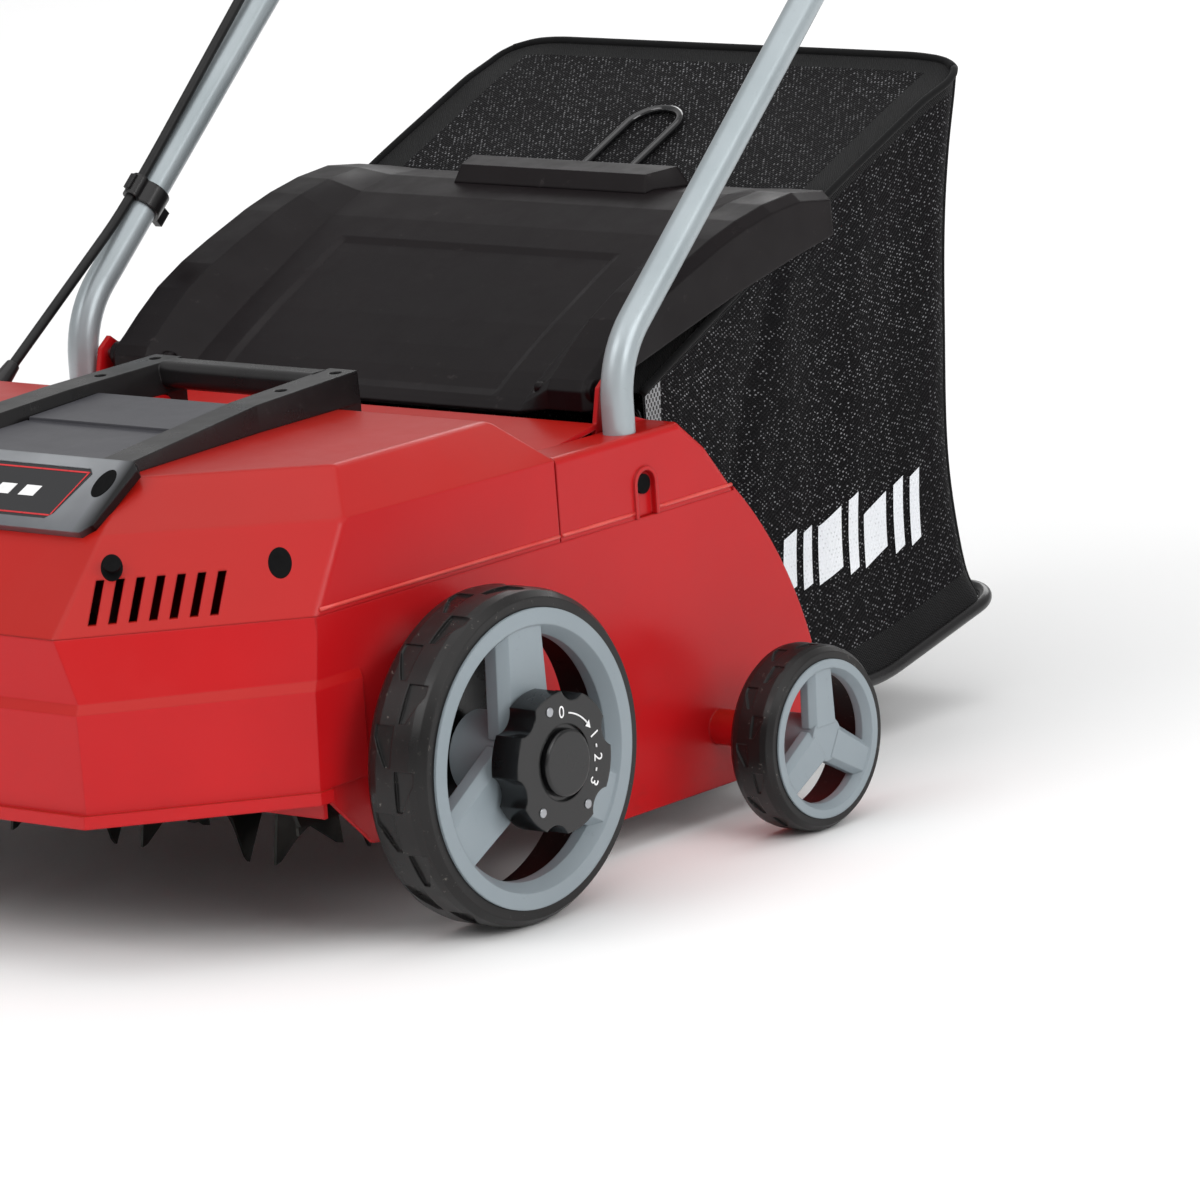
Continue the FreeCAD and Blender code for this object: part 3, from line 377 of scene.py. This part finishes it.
def knob_gloss():
    made = moulded("knob_plastic", srgb(10, 10, 11), srgb(16, 16, 17), 0.24, 0.000005, 0.0014, 0.04,
                   Specular_IOR_Level=0.35, Coat_Weight=0.25, Coat_Roughness=0.08)
    made.dust(srgb(60, 60, 62), 0.2, 140.0)
    return made


LOOP_STRETCH = 0.62      # rows along the cloth for each row across it


def weave(made, pitch, hole, speck, amount, scatter=0.5):
    """A knitted mesh by the piece's own metres: rows of small loops with light caught in some holes."""
    flat = made.axes(made.place.outputs["UV"])
    turn = 2 * math.pi / pitch
    across = made.math("SINE", made.product(flat["X"], turn))
    along = made.math("SINE", made.product(flat["Y"], turn * LOOP_STRETCH))
    loops = made.product(across, along)
    holes = made.ramp(loops, hole, hole + 0.25)
    patch = made.ramp(made.noise(420.0, 2.0), scatter, scatter + 0.06)
    slow = made.ramp(made.noise(16.0, 3.0, (1, 1, 0.3)), 0.35, 0.68, 0.55, 1.0)
    made.tint(made.product(made.product(holes, patch), made.product(slow, amount)), speck)
    made.bump(loops, 0.0004, 0.6)
    return made


def mesh_cloth():
    # The pale specks in some holes are painted light, seen through the knitted cloth.
    made = Surface("bag_mesh", srgb(9, 8, 10), 0.8, Specular_IOR_Level=0.1, Sheen_Weight=0.03)
    made.vary(0.8, srgb(7, 6, 8), srgb(14, 13, 15), 9.0)
    return weave(made, 0.0026, 0.32, srgb(170, 170, 173), 0.6, 0.53)


def plain_cloth():
    made = Surface("bag_binding", srgb(10, 10, 11), 0.8, Specular_IOR_Level=0.15, Sheen_Weight=0.06)
    made.vary(0.8, srgb(8, 8, 9), srgb(15, 15, 16), 20.0)
    return weave(made, 0.0016, 0.5, srgb(44, 44, 46), 0.5)


def pale_mesh():
    made = Surface("bag_tape", srgb(150, 152, 154), 0.75, Sheen_Weight=0.1)
    made.vary(0.75, srgb(126, 128, 130), srgb(170, 172, 174), 30.0)
    return weave(made, 0.0030, 0.05, srgb(14, 14, 16), 2.6, 0.0)


def printed_white():
    made = Surface("print_white", srgb(232, 234, 238), 0.7)
    made.vary(0.7, srgb(222, 225, 230), srgb(240, 242, 245), 12.0)
    return weave(made, 0.0030, 0.6, srgb(120, 122, 126), 0.5)


def dial_white():
    made = Surface("dial_white", srgb(235, 235, 235), 0.5)
    made.vary(0.5, srgb(224, 224, 224), srgb(242, 242, 242), 200.0, 0.05)
    return made


def badge_red():
    made = Surface("badge_red", srgb(196, 28, 36), 0.3, Coat_Weight=0.3)
    made.vary(0.3, srgb(184, 24, 32), srgb(206, 34, 40), 80.0, 0.05)
    return made


def painted_crease_highlight():
    # A lighter red that paints the highlight along the seam bead.
    made = Surface("painted_highlight_red", srgb(206, 62, 56), 0.34)
    made.vary(0.34, srgb(200, 50, 46), srgb(216, 84, 76), 30.0, 0.05)
    return made


def painted_recess_shade():
    # Near-black painted shade for the inside of the screw recesses.
    made = Surface("recess_painted_shade", srgb(4, 4, 5), 0.7, Specular_IOR_Level=0.1)
    made.vary(0.7, srgb(2, 2, 3), srgb(8, 8, 9), 60.0, 0.05)
    return made


def make_materials():
    """One material for each of the record's slots."""
    black = moulded("black_plastic", srgb(18, 17, 18), srgb(28, 27, 28), 0.30, 0.00002, 0.0014, 0.07,
                    Specular_IOR_Level=0.35, Coat_Weight=0.15, Coat_Roughness=0.12)
    black.dust(srgb(84, 83, 84), 0.2, 110.0)
    grey = moulded("grey_plastic", srgb(56, 56, 61), srgb(68, 68, 73), 0.40, 0.00003, 0.0012, 0.05)
    rim = moulded("rim_plastic", srgb(128, 139, 145), srgb(142, 152, 158), 0.40, 0.00002, 0.0012, 0.05,
                  Specular_IOR_Level=0.4)
    rim.dust(srgb(100, 104, 106), 0.3, 130.0)
    badge = moulded("badge", srgb(14, 14, 17), srgb(20, 20, 24), 0.16, 0.000004, 0.0006, 0.03, Coat_Weight=0.6)
    button = moulded("safety_red", srgb(190, 30, 34), srgb(204, 40, 40), 0.32, 0.00001, 0.0008, 0.05)
    return {
        "red_plastic": red_plastic(), "black_plastic": black, "flap_plastic": flap_plastic(),
        "knob_plastic": knob_gloss(), "grey_plastic": grey, "bezel_metal": bezel_lacquer(), "badge": badge,
        "tube_paint": painted_tube(), "steel": brushed("steel", srgb(176, 178, 182), 0.3),
        "black_wire": wire_gloss(), "blade_steel": worn_blade(),
        "cast": brushed("cast", srgb(168, 170, 172), 0.45),
        "laminations": laminated(), "tyre": tyre_rubber(), "rim_plastic": rim, "cable": rubber("cable"),
        "belt": rubber("belt", 22), "foam": foam_grip(), "bag_cloth": mesh_cloth(), "safety_red": button,
    }


PAINTED_SHADE_NODES = {"housing_screws": "hole"}     # nodes drawn in the recesses' painted shade instead of their slot's material


def dress_nodes(surfaces):
    """Every CAD node gets its slot's procedural material."""
    for part in frame["record"]["subparts"]:
        node = frame["nodes"][part["node"]]
        material = surfaces[PAINTED_SHADE_NODES.get(part["node"], part["material_slot"])].material
        if not node.data.materials:
            node.data.materials.append(material)
        for slot in node.material_slots:
            slot.material = material


# ---- mesh helpers ----------------------------------------------------------------
def new_mesh(name, vertices, faces, surface, body, slot=None, smooth=True):
    """A new piece in one surface, riding on body when there is one."""
    mesh = bpy.data.meshes.new(name)
    mesh.from_pydata([tuple(v) for v in vertices], [], faces)
    mesh.update()
    mesh.materials.append(surface.material)
    mesh.polygons.foreach_set("use_smooth", [smooth] * len(mesh.polygons))
    made = bpy.data.objects.new(name, mesh)
    bpy.context.scene.collection.objects.link(made)
    if body:
        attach(made, body)
    return made


CURVE_STEPS = 24        # points on each span of a smooth line


def add_mesh(vertices, faces, more):
    """Adds another mesh's (vertices, faces) to the lists of a piece that holds several."""
    base = len(vertices)
    vertices += more[0]
    faces += [tuple(base + i for i in ring) for ring in more[1]]


def smooth_line(points, count):
    """count + 1 points on a Catmull-Rom curve through points, evenly spread by chord."""
    ends = [points[0] * 2 - points[1]] + list(points) + [points[-1] * 2 - points[-2]]
    dense = []
    for i in range(1, len(ends) - 2):
        a, b, c, d = ends[i - 1:i + 3]
        for k in range(CURVE_STEPS):
            t = k / CURVE_STEPS
            dense.append(0.5 * ((2 * b) + (c - a) * t + (2 * a - 5 * b + 4 * c - d) * t * t
                                + (3 * b - a - 3 * c + d) * t ** 3))
    dense.append(points[-1])
    return spread(dense, count)


def spread(points, count):
    """count + 1 points, evenly spaced along the line through points."""
    lengths = [0.0]
    for a, b in zip(points, points[1:]):
        lengths.append(lengths[-1] + (b - a).length)
    out, k = [], 0
    for i in range(count + 1):
        want = lengths[-1] * i / count
        while k < len(points) - 2 and lengths[k + 1] < want:
            k += 1
        gap = lengths[k + 1] - lengths[k]
        out.append(points[k].lerp(points[k + 1], (want - lengths[k]) / gap if gap else 0.0))
    return out


def tube_mesh(path, radius, sides):
    """Vertices and faces of a round tube along path, closed at both ends."""
    vertices, faces = [], []
    side = None
    for i, point in enumerate(path):
        ahead = (path[min(i + 1, len(path) - 1)] - path[max(i - 1, 0)]).normalized()
        if side is None:
            side = ahead.orthogonal().normalized()
        side = (side - ahead * side.dot(ahead)).normalized()
        other = ahead.cross(side)
        for k in range(sides):
            a = 2 * math.pi * k / sides
            vertices.append(point + radius * (math.cos(a) * side + math.sin(a) * other))
    for i in range(len(path) - 1):
        for k in range(sides):
            a, b = i * sides + k, i * sides + (k + 1) % sides
            faces.append((a, b, b + sides, a + sides))
    faces.append(tuple(reversed(range(sides))))
    faces.append(tuple(range(len(vertices) - sides, len(vertices))))
    return vertices, faces


def disc_mesh(centre, normal, radius, thick, sides, tall=1.0):
    """A shallow domed disc standing on centre; tall stretches it upwards."""
    normal = Vector(normal).normalized()
    side = normal.cross(Vector((0, 0, 1))).normalized()
    up = side.cross(normal)
    vertices, faces = [], []
    rings = [(1.0, 0.0), (1.0, 0.6), (0.93, 0.92), (0.8, 1.0)]      # reach out and lift, from the rim inwards
    for reach, lift in rings:
        for k in range(sides):
            a = 2 * math.pi * k / sides
            vertices.append(centre + radius * reach * (math.cos(a) * side + tall * math.sin(a) * up)
                            + normal * thick * lift)
    for r in range(len(rings) - 1):
        for k in range(sides):
            a, b = r * sides + k, r * sides + (k + 1) % sides
            faces.append((a, b, b + sides, a + sides))
    faces.append(tuple(range(len(vertices) - sides, len(vertices))))
    faces.append(tuple(reversed(range(sides))))
    return vertices, faces


# ---- catcher bag --------------------------------------------------------------------
BAG_HALF = 172.0            # millimetres, like all the bag's outlines
BAG_TOP = [(232, 236), (300, 268), (400, 315), (470, 344.5), (545, 375)]
BAG_REAR = [(536, 62), (524, 84), (515, 146), (519, 221), (527, 296), (545, 375)]
BAG_BOTTOM = [(232, 70), (262, 57), (330, 38), (426, 38), (536, 62)]
BAG_FRONT = [(232, 70), (232, 120), (232, 180), (232, 236)]
ALONG, UP, ACROSS = 44, 40, 48      # cells on the panels
SIDE_PULL, SIDE_RIPPLE, SIDE_FOLD, HEM_FLARE = 6.0, 3.4, 3.0, 5.0
CORNER_REACH, CORNER_DROP, CORNER_RADIUS = 45.0, 5.0, 20.0
TAPE_LIFT, PRINT_LIFT = 0.7, 0.6


def outline(points, count):
    """One of the bag's outlines, given as (y, z), as a smooth line."""
    return smooth_line([Vector((0, y, z)) for y, z in points], count)


def round_corner(p, rear_y):
    """Rounds the two upright rear corners of the bag in plan."""
    radius = CORNER_RADIUS
    dx, dy = BAG_HALF - abs(p.x), rear_y - p.y
    if dx >= radius or dy >= radius:
        return p
    u, v = (radius - dx) / radius, (radius - dy) / radius
    x = BAG_HALF - radius + radius * u * math.sqrt(1 - v * v / 2)
    y = rear_y - radius + radius * v * math.sqrt(1 - u * u / 2)
    return Vector((math.copysign(x, p.x), y, p.z))


def ripple(a, b, seed):
    """Slack in stretched cloth, from -1.5 to 1.5."""
    return noise.noise(Vector((a, b, seed))) + 0.5 * noise.noise(Vector((a * 2.3, b * 2.1, seed + 7)))


def bag_panels():
    """Side, top, rear and bottom as rows of points, before rounding, with their seams shared."""
    top, bottom = outline(BAG_TOP, ALONG), outline(BAG_BOTTOM, ALONG)
    front, rear = outline(BAG_FRONT, UP), outline(BAG_REAR, UP)
    side = []
    for i in range(ALONG + 1):
        s = i / ALONG
        row = []
        for j in range(UP + 1):
            t = j / UP
            ruled = bottom[i].lerp(top[i], t) + front[j].lerp(rear[j], s)
            corners = bottom[0].lerp(bottom[-1], s).lerp(top[0].lerp(top[-1], s), t)
            point = ruled - corners
            held = (math.sin(math.pi * s) ** 0.7) * (math.sin(math.pi * t) ** 0.8)
            pull = SIDE_PULL * held + SIDE_RIPPLE * held * ripple(s * 8, t * 1.3, 2.0)
            fold = s - 0.10 - 0.34 * t
            pull += SIDE_FOLD * math.exp(-(fold / 0.035) ** 2) * min(1.0, 5 * s) * t
            flare = HEM_FLARE * math.exp(-t * 9) * min(1, s * 3)
            point.x = BAG_HALF - pull + flare
            row.append(point)
        side.append(row)

    def strip(edge, sag):
        """A panel across the bag's width that follows edge, moved by sag(along, across)."""
        rows = []
        for i, point in enumerate(edge):
            s = i / (len(edge) - 1)
            row = []
            for k in range(ACROSS + 1):
                a = 2 * k / ACROSS - 1
                row.append(point + Vector((a * BAG_HALF, 0, 0)) + sag(s, a))
            rows.append(row)
        return rows

    def top_sag(s, a):
        held = (1 - a * a) * math.sin(math.pi * s)
        return Vector((0, 0, -3.0 * held - 0.8 * held * ripple(a * 3, s * 3, 5.0)))

    def rear_sag(s, a):
        held = (1 - a * a) ** 0.8 * math.sin(math.pi * s) ** 0.8
        return Vector((0, -3.0 * held + 3.0 * held * ripple(a * 6, s * 1.2, 9.0), 0))

    def floor_sag(s, a):
        held = (1 - a ** 4) * math.sin(math.pi * s)
        return Vector((0, 0, -5.0 * held - 1.5 * held * ripple(a * 4, s * 4, 12.0)))

    return {"side": side, "top": strip(top, top_sag), "rear": strip(rear, rear_sag),
            "bottom": strip(bottom, floor_sag)}


def rear_at(z):
    """The rear panel's distance back at one height."""
    line = outline(BAG_REAR, 60)
    for a, b in zip(line, line[1:]):
        if a.z <= z <= b.z:
            return a.y + (b.y - a.y) * (z - a.z) / (b.z - a.z)
    return line[0].y if z < line[0].z else line[-1].y


def finish_bag_point(p):
    """Shared last step, so that seams meet: rounded rear corners that drop a little at the top."""
    out, back, high = abs(p.x) - (BAG_HALF - CORNER_REACH), p.y - 500, p.z - 330
    if min(out, back, high) <= 0:
        return round_corner(p, rear_at(p.z))
    drop = CORNER_DROP * (out / CORNER_REACH) ** 2 * (back / CORNER_REACH) * min(1.0, high / 30)
    return round_corner(Vector((p.x, p.y, p.z - drop)), rear_at(p.z))


def make_bag(surfaces):
    """The sewn bag, with dark binding where the panels meet and at the mouth."""
    panels = bag_panels()
    vertices, faces, uvs, kinds = [], [], [], []

    def add(rows, mark, flip):
        base = len(vertices)
        wide = len(rows[0])
        uv = [[None] * wide for _ in rows]
        for i, row in enumerate(rows):
            for j, p in enumerate(row):
                down = (rows[i][j] - rows[i - 1][j]).length if i else 0.0
                over = (row[j] - row[j - 1]).length if j else 0.0
                u = uv[i][j - 1][0] + over if j else 0.0
                v = uv[i - 1][j][1] + down if i else 0.0
                uv[i][j] = (u, v)
                vertices.append(W(*finish_bag_point(p)))
        for i in range(len(rows) - 1):
            for j in range(wide - 1):
                ring = [(i, j), (i + 1, j), (i + 1, j + 1), (i, j + 1)]
                if flip:
                    ring.reverse()
                faces.append(tuple(base + a * wide + b for a, b in ring))
                uvs.extend((uv[a][b][0] / 1000, uv[a][b][1] / 1000) for a, b in ring)
                kinds.append(mark(i, j))

    def side_mark(i, j):
        return 1 if j < 3 or j >= UP - 1 or i < 2 else 0

    def top_mark(i, j):
        return 1 if j < 3 or j >= ACROSS - 3 or i >= ALONG - 2 else 0

    def rear_mark(i, j):
        return 1 if i < 3 or i >= UP - 1 else 0

    mirrored = [[Vector((-p.x, p.y, p.z)) for p in row] for row in panels["side"]]
    add(panels["side"], side_mark, False)
    add(mirrored, side_mark, True)
    add(panels["top"], top_mark, True)
    add(panels["rear"], rear_mark, True)
    add(panels["bottom"], lambda i, j: 0, False)
    mesh = bpy.data.meshes.new("catcher_cloth")
    mesh.from_pydata([tuple(v) for v in vertices], [], faces)
    layer = mesh.uv_layers.new(name="cut")
    for k, uv in enumerate(uvs):
        layer.data[k].uv = uv
    mesh.materials.append(surfaces["bag_cloth"].material)
    mesh.materials.append(surfaces["binding"].material)
    for polygon, kind in zip(mesh.polygons, kinds):
        polygon.material_index = kind
        polygon.use_smooth = True
    bag = bpy.data.objects.new("catcher_cloth", mesh)
    bpy.context.scene.collection.objects.link(bag)
    join_seams(mesh)
    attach(bag, "bag")
    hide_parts("bag_fabric")
    trims = bag_trims(panels, surfaces)


def join_seams(mesh):
    """Welds the panels where they are sewn together, and marks the seams sharp."""
    grid = bmesh.new()
    grid.from_mesh(mesh)
    bmesh.ops.remove_doubles(grid, verts=grid.verts, dist=0.0006)
    bmesh.ops.recalc_face_normals(grid, faces=grid.faces)
    for edge in grid.edges:
        if len(edge.link_faces) == 2 and edge.calc_face_angle(0.0) > math.radians(50):
            edge.smooth = False
    grid.to_mesh(mesh)
    grid.free()


def bag_trims(panels, surfaces):
    """Seam rolls, the pale mesh tape at the mouth and the printed bars."""
    side, top = panels["side"], panels["top"]
    trims = []

    def seam(name, points, count, radius, sides):
        shape = tube_mesh(spread(points, count), radius, sides)
        trims.append(new_mesh(name, *shape, surfaces["binding"], "bag", "bag_cloth"))

    for sign, name in ((1, "left"), (-1, "right")):
        upper = [finish_bag_point(Vector((sign * row[UP].x, row[UP].y, row[UP].z))) for row in side]
        seam("seam_roll_" + name, [W(p.x, p.y, p.z + 0.5) for p in upper], 90, 0.0022, 10)
        upright = [finish_bag_point(Vector((sign * p.x, p.y, p.z))) for p in side[ALONG]]
        seam("seam_rear_" + name, [W(*p) for p in upright], 70, 0.0014, 8)
        trims.append(mouth_tape(name, sign, side, surfaces["tape"]))
    rear = [finish_bag_point(p) for p in top[ALONG]]
    seam("seam_roll_rear", [W(p.x, p.y - 0.5, p.z + 0.5) for p in rear], 90, 0.0024, 10)
    trims.append(printed_bars(side, surfaces["print"]))
    return trims


def on_side(side, s, t, lift, sign=1):
    """A point on the bag's side panel, lifted off the cloth."""
    i, j = s * ALONG, t * UP
    a, b = min(int(i), ALONG - 1), min(int(j), UP - 1)
    low = side[a][b].lerp(side[a + 1][b], i - a)
    high = side[a][b + 1].lerp(side[a + 1][b + 1], i - a)
    p = finish_bag_point(low.lerp(high, j - b))
    return W(sign * (p.x + lift), p.y, p.z)


def side_patch(side, corners, lift, sign, cells):
    """A patch on the side panel between four (s, t) corners."""
    vertices, faces = [], []
    n, m = cells
    low_a, low_b, high_b, high_a = [Vector(corner) for corner in corners]
    for i in range(n + 1):
        for j in range(m + 1):
            place = low_a.lerp(low_b, i / n).lerp(high_a.lerp(high_b, i / n), j / m)
            vertices.append(on_side(side, place.x, place.y, lift, sign))
    for i in range(n):
        for j in range(m):
            k = i * (m + 1) + j
            ring = (k, k + m + 1, k + m + 2, k + 1)
            faces.append(ring if sign > 0 else tuple(reversed(ring)))
    return vertices, faces


def flat_uv(made):
    """Side pieces take their weave from the same metres as the cloth: along Y and up Z."""
    layer = made.data.uv_layers.new(name="cut")
    for loop in made.data.loops:
        co = made.data.vertices[loop.vertex_index].co
        layer.data[loop.index].uv = (co.y, co.z)


def mouth_tape(name, sign, side, surface):
    """A pale strip of mesh down the side panel, just behind the mouth."""
    corners = [(0.004, 0.10), (0.05, 0.10), (0.05, 0.985), (0.004, 0.985)]
    shape = side_patch(side, corners, TAPE_LIFT, sign, (4, 30))
    made = new_mesh("mouth_tape_" + name, *shape, surface, "bag", "bag_cloth")
    flat_uv(made)
    return made


def printed_bars(side, surface):
    """A plain run of slanted bars, low on the left side; lengths are shares of the panel."""
    vertices, faces = [], []
    s_first = s0 = 0.42
    for width, tall in [(0.045, 0.115), (0.03, 0.115), (0.075, 0.115), (0.03, 0.14), (0.075, 0.10),
                        (0.03, 0.125), (0.03, 0.125)]:
        low = 0.24 - 0.13 * (s0 - s_first)
        lean = 0.016 * tall / 0.11
        rise = width * 0.16
        corners = [(s0, low), (s0 + width, low + rise), (s0 + width + lean, low + tall + rise),
                   (s0 + lean, low + tall)]
        add_mesh(vertices, faces, side_patch(side, corners, PRINT_LIFT, 1, (6, 8)))
        s0 += width + 0.019
    made = new_mesh("printed_bars", vertices, faces, surface, "bag", "bag_cloth")
    flat_uv(made)
    return made


# ---- cable -------------------------------------------------------------------------
LEAD_DIAMETER = 0.006
FOLD_X = -236       # where the lead passes the fold, outside the clamp knob


def make_cable(surfaces):
    """The lead from the housing's gland, along the handle and across its fold, to the switch box."""
    gland, bend = W(-192, 92, 237), on_handle(-199, -374, 12.1)
    way = (bend - gland).normalized()
    route = [gland - way * 0.014, bend - way * 0.036, bend, on_handle(-199, -330, 12.1),
             on_handle(-199.4, -294, 12.7), on_handle(-201, -150, 15.1), on_handle(FOLD_X, -52, 0),
             on_handle(FOLD_X, 0, 0), on_handle(FOLD_X, 46, 0), on_handle(-181.4, 150, 14.1),
             on_handle(-179.4, 280, 12.1), on_handle(-179.4, 400, 12.1)]
    curve = bpy.data.curves.new("lead_route", "CURVE")
    curve.dimensions = "3D"
    curve.resolution_u = 24
    spline = curve.splines.new("NURBS")
    spline.points.add(len(route) - 1)
    for point, place in zip(spline.points, route):
        point.co = (*place, 1.0)
    spline.order_u = 3
    spline.use_endpoint_u = True
    carrier = bpy.data.objects.new("lead_route", curve)
    bpy.context.scene.collection.objects.link(carrier)
    read = bpy.data.meshes.new_from_object(carrier)
    path = [v.co.copy() for v in read.vertices]
    bpy.data.objects.remove(carrier)
    bpy.data.meshes.remove(read)
    lead = new_mesh("power_lead", *tube_mesh(path, LEAD_DIAMETER / 2, 14), surfaces["cable"], None, "cable")
    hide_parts("motor_cable", "handle_cable")
    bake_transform(lead)


# ---- dial marks, screws and badge ------------------------------------------------------
DIAL_X = 0.2962             # the dial's face, metres from the middle
FIGURE_SIZE, FIGURE_RADIUS, ARC_RADIUS = 0.0092, 0.0268, 0.0262
FIGURES = (("0", 0), ("1", 68), ("2", 96), ("3", 124))      # degrees round the dial
ARCS = ((12, 50), (80, 84), (108, 112))                     # the arrow's shaft and the two dashes
SCREW_DEGREES, SCREW_RADIUS = (-18, 148, 222), 0.0305


def glyph(name, letter, centre, right, up, body, material):
    """A generic dial figure as a thin plate of mesh."""
    curve = bpy.data.curves.new(name, "FONT")
    curve.body = letter
    curve.size = FIGURE_SIZE
    curve.extrude = 0.0001
    curve.align_x = "CENTER"
    curve.align_y = "CENTER"
    carrier = bpy.data.objects.new(name + "_text", curve)
    bpy.context.scene.collection.objects.link(carrier)
    mesh = bpy.data.meshes.new_from_object(carrier)
    bpy.data.objects.remove(carrier)
    turn = Matrix((right, up, right.cross(up))).transposed().to_4x4()
    mesh.transform(Matrix.Translation(centre) @ turn)
    mesh.materials.clear()
    mesh.materials.append(material)
    made = bpy.data.objects.new(name, mesh)
    bpy.context.scene.collection.objects.link(made)
    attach(made, body)
    return made


def dial(side, sign, surfaces):
    """Figures, arrow and screws on one depth knob's face."""
    body = "depth_knob_" + side
    centre = Vector((sign * DIAL_X, AXLE_Y, sum(c.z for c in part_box(body)) / 2))
    right, up, out = Vector((0, sign, 0)), Vector((0, 0, 1)), Vector((sign, 0, 0))

    def outward(degrees):
        a = math.radians(degrees)
        return right * math.sin(a) + up * math.cos(a)

    def around(degrees, radius, lift=0.0):
        return centre + outward(degrees) * radius + out * lift

    for letter, degrees in FIGURES:
        head = outward(degrees)
        glyph("dial_" + letter + "_" + side, letter, around(degrees, FIGURE_RADIUS), head.cross(out), head,
              body, surfaces["dial"].material)
    vertices, faces = [], []
    for start, end in ARCS:
        line = [around(start + (end - start) * k / 12, ARC_RADIUS, 0.0001) for k in range(13)]
        add_mesh(vertices, faces, tube_mesh(line, 0.0005, 6))
    tip = [around(58, ARC_RADIUS, 0.0002), around(49, ARC_RADIUS + 0.0022, 0.0002),
           around(49, ARC_RADIUS - 0.0022, 0.0002)]
    add_mesh(vertices, faces, (tip, [(0, 1, 2) if sign < 0 else (0, 2, 1)]))
    new_mesh("dial_arc_" + side, vertices, faces, surfaces["dial"], body)
    screws, rings = [], []
    for degrees in SCREW_DEGREES:
        add_mesh(screws, rings, disc_mesh(around(degrees, SCREW_RADIUS, -0.0002), out, 0.0026, 0.0007, 24))
    new_mesh("dial_screws_" + side, screws, rings, surfaces["steel"], body, "steel")


def make_badge(surfaces):
    """A thin red border, a plain red block and a few pale bars on the badge plate."""
    top, foot = W(0, -104, 248.3), W(0, -134, 226.8)
    out = Vector((0, top.z - foot.z, foot.y - top.y)).normalized()
    lift = out * math.copysign(0.00455, out.z)

    def half(t):
        """Half the border's width, t of the way down the plate."""
        return 0.0756 - 0.008 * t

    def plates(name, quads, surface):
        vertices = [top.lerp(foot, t) + Vector((x, 0, 0)) + lift for quad in quads for x, t in quad]
        faces = [tuple(range(4 * k, 4 * k + 4)) for k in range(len(quads))]
        new_mesh(name, vertices, faces, surfaces[surface], "chassis", smooth=False)

    low, high, line = 0.06, 0.94, 0.0011
    border = []
    for sign in (1, -1):
        ends = ((low, 0), (high, 0), (high, line), (low, line))
        border.append([(sign * (half(t) - inset), t) for t, inset in ends])
    for a, b in ((low, low + 0.03), (high - 0.03, high)):
        border.append([(-half(a), a), (half(a), a), (half(b), b), (-half(b), b)])
    border.append([(-0.056, 0.28), (-0.030, 0.28), (-0.034, 0.72), (-0.060, 0.72)])
    plates("badge_border", border, "badge_red")
    bars = []
    for x in (-0.016, 0.002, 0.020, 0.038):
        bars.append([(x, 0.40), (x + 0.011, 0.40), (x + 0.009, 0.60), (x - 0.002, 0.60)])
    plates("badge_bars", bars, "dial")


def on_surface(node, place, towards):
    """Where a line through place meets the node's outside, and the surface's normal there."""
    hit, point, normal, _ = node.ray_cast(place - towards * 0.06, towards)
    return (point, normal) if hit else (place, -towards)


def make_recesses(surfaces):
    """Oval screw recesses in the hood's slanted corners and in the bezel's ends, drawn as near-black discs of
    painted shade.
    """
    # node, place in millimetres, direction it faces, half width and height over width
    spots = [("motor_hood", (125, -150, 214), (0.6, -0.57, 0.56), 0.0058, 1.45),
             ("motor_hood", (186, -88, 205), (0.6, -0.57, 0.56), 0.0062, 1.45),
             ("bezel", (90, -112, 243), (0, -0.58, 0.81), 0.0062, 1.6)]
    vertices, faces = [], []
    for sign in (1, -1):
        for node, (x, y, z), (a, b, c), size, tall in spots:
            out = Vector((sign * a, b, c)).normalized()
            up = (Vector((0, 0, 1)) - out * out.z).normalized() * 0.0095
            found = [on_surface(frame["nodes"][node], W(sign * x, y, z) + step, -out) for step in (up, -up)]
            middle = (found[0][0] + found[1][0]) / 2
            normal = (found[0][1] + found[1][1]).normalized()
            add_mesh(vertices, faces, disc_mesh(middle - normal * 0.0002, normal, size, 0.0006, 32, tall))
    new_mesh("screw_recesses", vertices, faces, surfaces["hole"], "chassis", "black_plastic")


SEAM_X, SEAM_Z = 212.0, 183.4           # the side seam between the deck and what stands on it
HINGE_Y, HINGE_Z = 186.0, 246.0         # the flap's hinge bores


def make_creases(surfaces):
    """A bead along the side seam that the hood and the side covers stand on, in a lighter red that paints its
    highlight.
    """
    for sign, name in ((1, "left"), (-1, "right")):
        for k, (start, end) in enumerate(((-88, 106.5), (109, 170.5), (191.5, 255))):
            line = spread([W(sign * SEAM_X, y, SEAM_Z) for y in (start, end)], 12)
            new_mesh("crease_%s_%d" % (name, k), *tube_mesh(line, 0.0011, 8), surfaces["edge"], "chassis",
                     "red_plastic")


def make_hinge_plugs(surfaces):
    """Blind ends that close the flap's two hinge bores where they come out on the panel's slopes."""
    for sign, name in ((1, "left"), (-1, "right")):
        line = spread([W(sign * x, HINGE_Y, HINGE_Z) for x in (136.0, 150.5)], 6)
        new_mesh("hinge_plug_" + name, *tube_mesh(line, 0.00306, 24), surfaces["flap_plastic"], "flap",
                 "flap_plastic")


# ---- build ------------------------------------------------------------------------------
bpy.context.scene.view_settings.view_transform = "Standard"
make_camera()
make_studio()
surfaces = make_materials()
surfaces.update({"binding": plain_cloth(), "tape": pale_mesh(), "print": printed_white(), "dial": dial_white(),
                 "badge_red": badge_red(), "hole": painted_recess_shade(), "edge": painted_crease_highlight()})
dress_nodes(surfaces)
make_cable(surfaces)
make_bag(surfaces)
dial("left", 1, surfaces)
dial("right", -1, surfaces)
make_badge(surfaces)
make_recesses(surfaces)
make_creases(surfaces)
make_hinge_plugs(surfaces)
